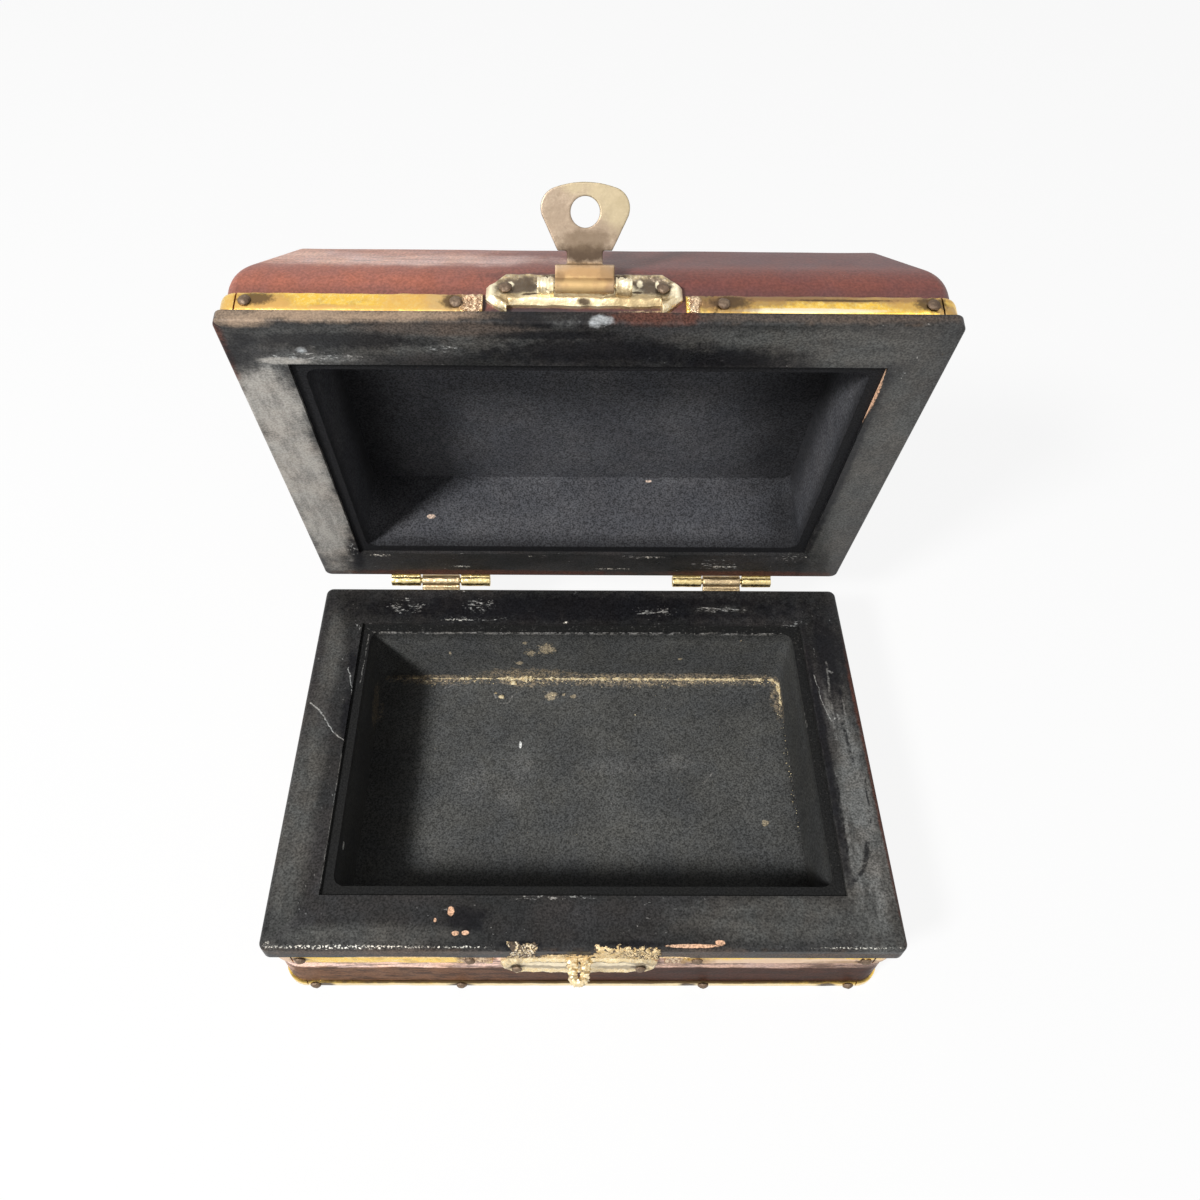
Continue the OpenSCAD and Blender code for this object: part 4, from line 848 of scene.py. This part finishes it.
# Lid plate: dark on the raised field, partly tarnish and partly painted reflection of dark surroundings; bright gold
# on the lower flange and cream on the ends, lower edge, knuckles and a few spots are painted highlights
plateLid = brass("agedBrassPlateLid", "plate", True, [
    ((0.085, 0.060, 0.045), 0.93, 0.5, 1.1, [(-11.0, 7.9, 5.0, 2.2), (11.4, 8.0, 4.6, 2.2), (0, 9.8, 9, 0.9)]),
    ((0.22, 0.155, 0.095), 0.85, 0.6, 1.2, [(-9, 11.0, 6.5, 3, 0.8), (9.5, 11.0, 5.5, 3, 0.8)]),
    ((0.98, 0.82, 0.50), 0.9, 0.35, 1.2, [(0, 5.1, 13.4, 3, 1.7)]),
    (creamGold, 0.9, 0.5, 0.8, [(-16.6, 6.5, 1.0, 3, 3.2), (16.4, 6.5, 1.0, 3, 3.2), (0, 3.6, 13, 3, 0.5),
                                (x0 - 7, plateFront - 1, 6.6, 1.5, 3, 1.6),
                                (x0 + 7.6, plateFront - 1, 6.6, 2.4, 3, 1.6), (-13, 8.4, 0.6, 0.5),
                                (9.8, 8.6, 0.5, 0.8), (12.8, 8.4, 0.35, 0.8)]),
    ((0.45, 0.33, 0.17), 0.85, 0.9, 0.8, [(9.5, 5.0, 5.5, 3, 1.3), (-13.5, 5.2, 2.0, 3, 1.0)]),
    (dirtBrown, 0.95, 0.3, 0.5,
     [(x0, plateFront - 1, 4.5, 1.3, 3, 0.5), (-9.5, 6.0, 1.6, 3, 0.3), (9.2, 6.6, 1.0, 3, 0.3)]),
], face=(x0, plateFront), metal=0.75)
plateBase = brass("agedBrassPlateBase", "plate", False, [
    ((0.95, 0.84, 0.62), 0.75, 0.5, 1.2, [(-7, 16.6, 6.5, 2.0), (8, 16.6, 6.5, 2.0)]),
    ((0.30, 0.24, 0.17), 0.75, 0.9, 1.2, [(-6, 15.2, 8.0, 3, 0.7), (9, 15.0, 5.0, 3, 0.8), (13, 17.2, 2.6, 3, 1.0)]),
    (dirtBrown, 0.8, 0.5, 1.0, [(-12.8, 15.4, 1.8, 0.9), (12.8, 15.4, 1.8, 0.9), (0, 18.6, 12, 0.5)]),
], face=(x0, plateFront), metal=0.6)
strapBrass = brass("agedBrassStrap", "strap", True, [
    ((0.50, 0.42, 0.25), 0.6, 0.9, 4.0, [(x0 + 6, -59, 16, 5.0, 5, 5), (x0 - 2, -62, 19, 6, 3, 3)]),
    ((0.26, 0.19, 0.13), 0.42, 0.9, 2.4, [(x0 - 3.5, -57, 14, 4.5, 2.6, 2.6), (x0 + 1, -55.6, 12.6, 6, 1.6, 1.6)]),
    ((0.43, 0.26, 0.115), 0.95, 0.12, 0.9, [(x0, -49.4, 7.0, 6.6, 2.9, 2.9)]),
    ((0.60, 0.42, 0.19), 0.6, 0.9, 1.6, [(x0 - 1, -49.3, 6.2, 5.0, 1.4, 1.4)]),
    ((0.27, 0.17, 0.085), 0.6, 0.8, 1.2,
     [(x0, -51.6, 8.9, 6.0, 0.6, 0.6), (x0 + 4, -50.4, 7.8, 1.6, 1.4, 1.4), (x0 - 4.4, -49.6, 7.2, 1.0, 1.6, 1.6)]),
    # painted shade: the two dark bands where the strap bends at its neck
    ((0.065, 0.038, 0.020), 0.94, 0.5, 1.0, [(x0, -52.8, 10.1, 5.4, 1.6, 1.6)]),
    ((0.16, 0.11, 0.068), 0.7, 0.7, 1.4, [(x0, -54.3, 11.6, 5.0, 1.9, 1.7)]),
], metal=0.6)
hingeBrass = brass("hingeBrass", "hinge", False)
hingeKnurled = brass("hingeBrassKnurled", "hinge", False, [
    ((0.42, 0.31, 0.20), 0.75, 0.6, 1.2, [(0, halfDepth + 2, 24, 80, 8, 6)]),
], knurl=0.35)
nailMetal = brass("darkNailBrass", "nail", False, metal=0.5)
dress(plateLid, "hasp_plate", "hasp_pin")
dress(plateBase, "staple_plate", "staple")
dress(strapBrass, "hasp_strap")
nailNodes = ("lid_band_nails", "base_band_nails", "foot_band_nails", "hasp_plate_nails", "staple_plate_nails")
lidLeaves = ("hinge_left_lid_leaf", "hinge_right_lid_leaf")
baseLeaves = ("hinge_left_base_leaf", "hinge_right_base_leaf")
dress(hingeBrass, *lidLeaves, "hinge_left_pin", "hinge_right_pin", "hinge_base_screws", "hinge_lid_screws")
dress(hingeKnurled, *baseLeaves)
dress(nailMetal, *nailNodes)


# Rounds and dents a metal piece with modifiers, which leave its mesh as it is
def hammer(name, voxel, dentSize, dentDepth, smooth=2):
    piece = nodes[name]
    remesh = piece.modifiers.new("skin", "REMESH")
    remesh.mode, remesh.voxel_size, remesh.use_smooth_shade = "VOXEL", voxel * mm, True
    soften = piece.modifiers.new("soften", "SMOOTH")
    soften.factor, soften.iterations = 0.5, smooth
    texture = bpy.data.textures.new(name + "_dents", "CLOUDS")
    texture.noise_scale, texture.noise_depth = dentSize * mm, 2
    dents = piece.modifiers.new("dents", "DISPLACE")
    dents.texture, dents.texture_coords, dents.strength, dents.mid_level = texture, "LOCAL", dentDepth * mm, 0.55


hammer("hasp_strap", 0.16, 5.0, 0.10)
for name in nailNodes:
    hammer(name, 0.16, 0.9, 0.30)
for name in lidLeaves + baseLeaves:
    hammer(name, 0.18, 1.2, 0.16, 1)


# Pressed plates: a dished octagon with a rolled edge, dented all over

plateShape = dict(columns=190, rows=30, bevel=1.0, dish=0.34, roll=0.14, dent=0.30, dentSize=2.9, crease=0.10)


def makePlate(name, width, high, bottom, mouth, material, body, stands, seed):
    look = plateShape
    half, cutX, cutZ = width / 2, width * 0.1, high * 0.36
    columns = [-half + width * k / look["columns"] for k in range(look["columns"] + 1)]
    points = []
    for x in columns:
        slope = max(0.0, abs(x) - (half - cutX)) / cutX * cutZ
        low, top = slope, high - slope
        if mouth and abs(x) < mouth[0] / 2:
            low = max(low, mouth[1])
        for j in range(look["rows"] + 1):
            v = j / look["rows"]
            z = low + (top - low) * (0.5 - 0.5 * math.cos(math.pi * v))
            near = max(0.0, min(half - abs(x), z - low, top - z))  # distance from the plate's edge
            t = min(1.0, near / look["bevel"])
            rise = sizes["plateThick"] * (0.45 + 0.55 * math.sin(t * math.pi / 2))
            roll = look["roll"] * math.exp(-((near - look["bevel"]) / 0.45) ** 2)
            dish = look["dish"] * min(1.0, max(0.0, near - look["bevel"]) / 1.6)
            dent = look["dent"] * (wander((x, z, 0), look["dentSize"], seed) + 0.3 * t * wander((x, z, 4), 0.8,
                    seed + 1))
            crease = look["crease"] * (1 - abs(wander((x * 0.7, z, 9), 1.6, seed + 2)) * 3)
            rise = max(0.35, rise + roll - dish + dent * min(1, 0.3 + t) + crease * t)
            edgeX = 0.25 * wander((x, z, 20), 2.4, seed) * (1 - t)
            edgeZ = 0.34 * wander((x, z, 24), 2.8, seed) * (1 - t)
            points.append((sizes["haspX"] + x + edgeX, -(panelY + rise), bottom + z + edgeZ))
    rows = look["rows"] + 1
    faces = gridFaces(len(columns), rows)
    # skirt back to the panel all round
    rim = [k * rows for k in range(len(columns))]
    rim += [(len(columns) - 1) * rows + j for j in range(1, rows)]
    rim += [k * rows + rows - 1 for k in range(len(columns) - 2, -1, -1)]
    rim += [j for j in range(rows - 2, 0, -1)]
    start = len(points)
    for v in rim:
        x, y, z = points[v]
        points.append((x, -panelY, z))
    for k in range(len(rim)):
        t = (k + 1) % len(rim)
        faces.append((rim[k], start + k, start + t, rim[t]))
    faces.append(tuple(range(start, start + len(rim))))
    return makePiece(name, points, faces, material, body, stands, 50)


# Round bar along a path of points, with radii and a crumpled surface
def tube(path, radii, sides, crumple, size, seed):
    points = []
    for k, (p, radius) in enumerate(zip(path, radii)):
        ahead = Vector(path[min(k + 1, len(path) - 1)]) - Vector(path[max(k - 1, 0)])
        ahead.normalize()
        side = ahead.cross(Vector((0, 0, 1)))
        side = side.normalized() if side.length > 0.01 else Vector((0, 1, 0))
        up = side.cross(ahead)
        for s in range(sides):
            a = 2 * math.pi * s / sides
            way = side * math.cos(a) + up * math.sin(a)
            reach = radius * (1 + crumple * wander(Vector(p) + way * radius * 2, size, seed) * 2)
            points.append(tuple(Vector(p) + way * reach))
    return points, tubeFaces(len(path), sides)


def joinMeshes(parts):
    points, faces = [], []
    for morePoints, moreFaces in parts:
        start = len(points)
        points += morePoints
        faces += [tuple(start + v for v in face) for face in moreFaces]
    return points, faces


lugShape = dict(start=5.4, length=2.8, radius=1.3, crumple=0.16, steps=14, tongueHigh=0.9, tongueLow=1.0, plateUp=0.1,
                mouth=(27, 1.6))


def makeHaspPlate():
    makePlate("hasp_plate_pressed", *sizes["lidPlate"], sizes["lidLip"] + lugShape["plateUp"], lugShape["mouth"],
              plateLid, "lid", ["hasp_plate"], 3)
    look = lugShape
    parts = []
    for side in (-1, 1):
        path, radii = [], []
        for k in range(look["steps"] + 1):
            x = look["start"] + look["length"] * k / look["steps"]
            path.append((sizes["haspX"] + side * x, haspShut.y, haspShut.z))
            radii.append(look["radius"] * (1 + 0.05 * math.sin(k * 2.1)))
        parts.append(tube(path, radii, 22, look["crumple"], 0.9, 5 + side))
        # tongue of sheet that runs from the knuckle to the plate
        ends = [sizes["haspX"] + side * x for x in (look["start"], look["start"] + look["length"])]
        high, low, back = look["tongueHigh"], -look["tongueLow"], -panelY - 1.0
        section = ((haspShut.y, high), (back, high), (back, low), (haspShut.y, low))
        tongue = [(x, y, haspShut.z + z) for x in ends for y, z in section]
        parts.append((tongue, [(0, 1, 2, 3), (7, 6, 5, 4), (0, 4, 5, 1), (1, 5, 6, 2), (2, 6, 7, 3), (3, 7, 4, 0)]))
    points, faces = joinMeshes(parts)
    makePiece("hasp_plate_knuckles", points, faces, plateLid, "lid", ["hasp_plate"], 60)


makeHaspPlate()
staplePlateLow = baseBandLow + sizes["bandHeight"] - lugShape["plateUp"] - sizes["basePlate"][1]
makePlate("staple_plate_pressed", *sizes["basePlate"], staplePlateLow, None, plateBase, "base", ["staple_plate"], 8)

stapleLook = dict(
    radius=0.92, crumple=0.34, root=-46.2, leg=1.2, bend=-50.3, high=19.1, collar=1.05, collarSteps=12,
    collarStep=0.22,
)
crustLook = dict(cream=(0.83, 0.66, 0.40), gold=(0.66, 0.46, 0.20), gap=(0.050, 0.036, 0.024), rough=0.5, metal=0.35,
                 depth=0.30)


def crustMaterial():
    look = crustLook
    material = newMaterial("flakingGilt", False)
    colour = blendColour(ramp(blotches(0.9, 4, 0.65), 0.35, 0.65), look["gold"], look["cream"])
    bits = blotches(0.42, 3, 0.65, shift=9)
    specked = spots([(-12.6, -46.6, 22.6, 3.6, 4, 3.4), (11.5, -46.6, 21.6, 5.0, 4, 3.0)], 0.4, 1.5, soft=0.5)
    colour = blendColour(times(specked, ramp(bits, 0.50, 0.56)), colour, look["gap"])
    silver = spots([(-12.6, -46.4, 23.0, 3.4, 4, 2.6)], 0.5, 1.5, soft=0.5)
    colour = blendColour(times(silver, times(ramp(bits, 0.48, 0.42), 0.8)), colour, (0.86, 0.83, 0.76))
    relief([(bits, look["depth"])])
    setShader(colour=colour, rough=look["rough"], metal=look["metal"])
    return material


def crackMaterial():
    material = newMaterial("flakingGiltCracks", False)
    colour = blendColour(ramp(blotches(0.6, 3, 0.6), 0.4, 0.65), crustLook["gap"], (0.16, 0.11, 0.07))
    setShader(colour=colour, rough=0.8)
    return material


giltCrust = crustMaterial()
giltCracks = crackMaterial()


def makeStaple():
    look = stapleLook
    x, z = sizes["haspX"], look["high"]
    path = [(x - look["leg"], look["root"] + (look["bend"] - look["root"]) * k / 9, z) for k in range(10)]
    for k in range(1, 12):
        a = math.pi * k / 12
        path.append((x - look["leg"] * math.cos(a), look["bend"] - look["leg"] * math.sin(a), z))
    path += [(x + look["leg"], look["bend"] + (look["root"] - look["bend"]) * k / 9, z) for k in range(10)]
    fine = [tuple(a[i] + (b[i] - a[i]) * k / 3 for i in range(3)) for a, b in zip(path, path[1:]) for k in range(3)]
    fine.append(path[-1])
    parts = [tube(fine, [look["radius"]] * len(fine), 14, look["crumple"], 0.6, 4)]
    for side in (-1, 1):  # torn sheet bunched up round each leg's root
        steps, out = range(look["collarSteps"]), x + side * (look["leg"] + 0.25)
        root = [(out, plateFront + 0.3 - look["collarStep"] * k, z + 0.1 * math.sin(k)) for k in steps]
        parts.append(tube(root, [look["collar"] - 0.02 * k for k in steps], 16, 0.45, 0.55, 7 + side))
    points, faces = joinMeshes(parts)
    makePiece("staple_crumpled", points, faces, plateBase, "base", ["staple"], 60)


makeStaple()
print("metal aged")


# Flakes of gilt and paint standing on the front edge of the base

# Place and way out on the rim's front edge, by the distance over it from the top of the rim
def overEdge(v):
    turn = sizes["rimRound"]
    flat = 1.4
    y0 = -(halfDepth - turn - flat)
    if v < flat:
        return y0 - v, sizes["baseHeight"], 0.0, 1.0
    if v < flat + turn * math.pi / 2:
        a = (v - flat) / turn
        s, c = math.sin(a), math.cos(a)
        return y0 - flat - turn * s, sizes["baseHeight"] - turn + turn * c, -s, c
    return -halfDepth, sizes["baseHeight"] - turn - (v - flat - turn * math.pi / 2), -1.0, 0.0


flakeLook = dict(step=0.13, margin=0.3, crackWidth=0.22, sunk=0.25, darkBelow=0.30)
flakePatches = [  # x from and to, start and end over the edge, height, size of the flakes, share of cracks
    dict(left=-15.6, right=-8.6, start=0.7, end=6.6, high=0.22, flake=0.75, gaps=0.42),
    dict(left=-9.5, right=2.2, start=4.3, end=6.6, high=0.25, flake=1.1, gaps=0.16),
    dict(left=1.6, right=12.2, start=1.2, end=6.5, high=0.26, flake=1.5, gaps=0.12),
    dict(left=9.6, right=15.8, start=1.8, end=6.6, high=0.45, flake=0.7, gaps=0.36),
]


def makeFlakes(seed, patch):
    look, step = flakeLook, flakeLook["step"]
    columns = int((patch["right"] - patch["left"]) / step)
    rows = int((patch["end"] - patch["start"]) / step)
    points, heights = [], []
    for i in range(columns + 1):
        x = patch["left"] + i * step
        for j in range(rows + 1):
            v = patch["start"] + j * step
            y, z, outY, outZ = overEdge(v)
            inside = min(x - patch["left"], patch["right"] - x, v - patch["start"]) - look["margin"]
            inside += 1.6 * wander((x, v, 0), 1.5, seed) + 0.7 * wander((x, v, 3), 0.5, seed)
            near, _ = noise.voronoi(Vector((x, v * 1.1, seed * 9.0)) / patch["flake"])
            crack = min(1.0, (near[1] - near[0]) / look["crackWidth"])
            lift = patch["high"] * (0.65 + 0.25 * noise.cell(Vector((near[0] * 3, 0, 0))) + 0.5 * wander((x, v, 8),
                    0.9, seed))
            keep = max(-1.0, min(1.0, inside * 4))
            height = max(0.02, lift) * (1 if crack > patch["gaps"] else 0.15) * keep if keep > 0 else -look["sunk"]
            points.append((x, y + outY * height, z + outZ * height))
            heights.append(height)
    faces, dark = [], []
    for face in gridFaces(columns + 1, rows + 1, flip=True):
        tall = [heights[v] for v in face]
        if max(tall) > 0.0:
            faces.append(face)
            dark.append(sum(tall) / 4 < look["darkBelow"] * patch["high"])
    piece = makePiece(f"gilt_flakes_{seed}", points, faces, giltCrust, "base", sharp=35)
    piece.data.materials.append(giltCracks)
    for polygon, low in zip(piece.data.polygons, dark):
        polygon.material_index = 1 if low else 0


for seed, patch in enumerate(flakePatches, 1):
    makeFlakes(seed, patch)
print("flakes laid")


# Timber of the top and bottom boards

def timber(name, onLid):
    material = newMaterial(name, onLid)
    grain = blotches(0.9, 4, 0.6, stretch=(22, 1, 1))
    colour = blendColour(ramp(grain, 0.35, 0.7), (0.055, 0.034, 0.022), (0.115, 0.072, 0.044))
    colour = blendColour(ramp(blotches(8, 3, 0.6, shift=3), 0.5, 0.7), colour, (0.035, 0.024, 0.018))
    relief([(grain, 0.05)])
    setShader(colour=colour, rough=0.7, shine=0.3)
    return material


dress(timber("stainedBoardBase", False), "base_bottom")
dress(timber("stainedBoardLid", True), "lid_top_board")


# Crusty glue along the back of the floor

glueLook = dict(
    start=-46.0, step=0.3, corner=2.5, returnSteps=19, arcPoints=7, spread=0.9, rise=1.3, crumbSides=8,
    tan=(0.56, 0.43, 0.23), pale=(0.80, 0.70, 0.47), dark=(0.10, 0.075, 0.050), seed=5,
)


def glueMaterial():
    material = newMaterial("driedGlue", False)
    colour = blendColour(ramp(blotches(0.7, 4, 0.7), 0.35, 0.7), glueLook["tan"], glueLook["pale"])
    colour = blendColour(ramp(blotches(0.8, 4, 0.7, shift=4), 0.54, 0.64), colour, glueLook["dark"])
    relief([(blotches(0.4, 3, 0.6, shift=2), 0.08)])
    setShader(colour=colour, rough=0.65)
    return material


def makeGlue():
    look = glueLook
    rng = random.Random(look["seed"])
    step, corner = look["step"], look["corner"]
    back = halfDepth - sizes["backWall"] - sizes["lining"]
    side = halfWidth - sizes["sideWall"] - sizes["lining"]
    floorHeight = sizes["floor"]
    path = [(look["start"] + step * k, back, 0, 1) for k in range(int((side - look["start"] - corner) / step))]
    path += arc(side - corner, back - corner, corner, 90, -90, 8, first=1)
    path += [(side, back - corner - step * k, 1, 0) for k in range(1, look["returnSteps"] + 1)]
    points, count = [], look["arcPoints"]
    for k, (x, y, outX, outY) in enumerate(path):
        thick = 0.30 + 0.42 * wander((x, y, 0), 2.4, 2) + 0.40 * wander((x, y, 3), 0.8, 4)
        lumps = 0.75 * math.exp(-((x + 14.0) / 1.6) ** 2) + 0.45 * math.exp(-((x + 19.5) / 1.6) ** 2)
        thick += lumps + 0.12 * (x > 5)
        thick -= 0.22 if x < -32 else 0
        thick = max(0.04, thick) * min(1, 0.2 + min(k, len(path) - 1 - k) / 4)
        for s in range(count):
            a = math.pi / 2 * s / (count - 1)
            lump = thick * (1 + 0.8 * wander((x * 2, s, k), 1.3, 6))
            away = lump * math.cos(a) * look["spread"] - 0.02
            points.append((x - outX * away, y - outY * away, floorHeight - 0.02 + lump * look["rise"] * math.sin(a)))
        points.append((x + outX * 0.05, y + outY * 0.05, floorHeight - 0.05))
    faces = tubeFaces(len(path), count + 1, flip=True)
    # crumbs on the floor
    crumbs = [(-20.7, 27.4, 1.0, 0.45), (-17.7, 31.9, 1.1, 0.6), (-7.3, 28.0, 0.35, 0.2), (14.1, 22.0, 0.25, 0.2),
              (-22.3, 28.6, 0.5, 0.3)]
    crumbs += [(rng.uniform(-42, 50), back - abs(rng.gauss(0, 0.9)) - 0.3, rng.uniform(0.10, 0.28),
                0.12) for _ in range(130)]
    crumbs += [(side - abs(rng.gauss(0, 0.5)) - 0.2, back - 2 - 44 * rng.random() ** 1.6, rng.uniform(0.08, 0.24),
                0.14) for _ in range(55)]
    crumbs += [(rng.uniform(-38, 50), rng.uniform(-14, 30), rng.uniform(0.04, 0.09), 0.06) for _ in range(60)]
    for x, y, radius, high in crumbs:
        start, rim = len(points), look["crumbSides"]
        for near, far, top in ((0.6, 1.1, False), (0.3, 0.6, True)):
            for s in range(rim):
                a = 2 * math.pi * s / rim
                reach = radius * rng.uniform(near, far)
                z = floorHeight + high * rng.uniform(0.5, 1.0) if top else floorHeight - 0.01
                points.append((x + reach * math.cos(a), min(back, y + 0.7 * reach * math.sin(a)), z))
        faces += [tuple(start + v for v in face) for face in gridFaces(2, rim, wrap=True)]
        faces.append(tuple(start + rim + s for s in range(rim)))
    makePiece("dried_glue_line", points, faces, glueMaterial(), "base", sharp=50)


makeGlue()
print("glue laid")


# Camera, floor and light

cameraLook = dict(place=(-3.98, -116.62, 223.18), down=52.16, turn=0.8, roll=0.89, lens=29.904,
                  shift=(0.0213, 0.0138))


def makeCamera():
    a, b, c = (math.radians(cameraLook[k]) for k in ("down", "turn", "roll"))
    ahead = Vector((math.sin(b) * math.cos(a), math.cos(b) * math.cos(a), -math.sin(a)))
    right = Vector((math.cos(b), -math.sin(b), 0))
    up = right.cross(ahead)
    right, up = math.cos(c) * right + math.sin(c) * up, -math.sin(c) * right + math.cos(c) * up
    data = bpy.data.cameras.new("camera")
    data.lens, data.sensor_width = cameraLook["lens"], 36
    data.shift_x, data.shift_y = cameraLook["shift"]
    data.clip_start, data.clip_end = 0.005, 20
    camera = bpy.data.objects.new("camera", data)
    bpy.context.scene.collection.objects.link(camera)
    camera.matrix_world = Matrix.Translation(Vector(cameraLook["place"]) * mm) @ Matrix((right, up,
            -ahead)).transposed().to_4x4()
    bpy.context.scene.camera = camera


makeCamera()

lightLook = dict(
    key=dict(place=(-0.55, -0.53, 0.77), size=0.17, power=12.5),
    fill=dict(place=(0.30, -0.45, 1.00), size=0.70, power=1.4),
    sky=0.13, floorTone=0.88, floorShare=0.10, floorReach=6.0,
)


def makeLamp(name, look, aim=(0, 0.02, 0.03)):
    data = bpy.data.lights.new(name, "AREA")
    data.shape, data.size, data.energy = "SQUARE", look["size"], look["power"]
    lamp = bpy.data.objects.new(name, data)
    lamp.location = look["place"]
    lamp.rotation_euler = (Vector(aim) - lamp.location).to_track_quat("-Z", "Y").to_euler()
    bpy.context.scene.collection.objects.link(lamp)


for name in ("key", "fill"):
    makeLamp(name + "Lamp", lightLook[name])


# 1 for rays that should meet the plain white background: seen straight, in gloss or through glass
def whiteRays():
    rays = put("ShaderNodeLightPath")
    seen = maths("MAXIMUM", rays.outputs["Is Camera Ray"], rays.outputs["Is Glossy Ray"])
    return maths("MAXIMUM", seen, rays.outputs["Is Transmission Ray"])


def makeWorld():
    global tree
    world = bpy.data.worlds.new("studio")
    bpy.context.scene.world = world
    world.use_nodes = True
    tree = world.node_tree
    back = tree.nodes["Background"]
    strength = maths("MULTIPLY_ADD", whiteRays(), 1.0 - lightLook["sky"], lightLook["sky"])
    back.inputs[0].default_value = (1, 1, 1, 1)
    tree.links.new(strength, back.inputs[1])


def makeFloor():
    wide = lightLook["floorReach"]
    mesh = bpy.data.meshes.new("floor")
    mesh.from_pydata([(-wide, -wide, 0), (wide, -wide, 0), (wide, wide, 0), (-wide, wide, 0)], [], [(0, 1, 2, 3)])
    floor = bpy.data.objects.new("floor", mesh)
    bpy.context.scene.collection.objects.link(floor)
    material = newMaterial("paleFloor")
    tone = lightLook["floorTone"]
    tree.nodes.remove(shader)
    matt = put("ShaderNodeBsdfDiffuse", {"Color": (tone, tone, tone, 1)})
    plain = put("ShaderNodeEmission", {"Color": (1, 1, 1, 1), "Strength": 1.0})
    amount = times(whiteRays(), 1 - lightLook["floorShare"])
    mixed = put("ShaderNodeMixShader", {0: amount, 1: matt.outputs[0], 2: plain.outputs[0]})
    tree.links.new(mixed.outputs[0], tree.nodes["Material Output"].inputs[0])
    mesh.materials.append(material)


makeWorld()
makeFloor()
bpy.context.scene.view_settings.view_transform = "Standard"
print("camera and lights set")
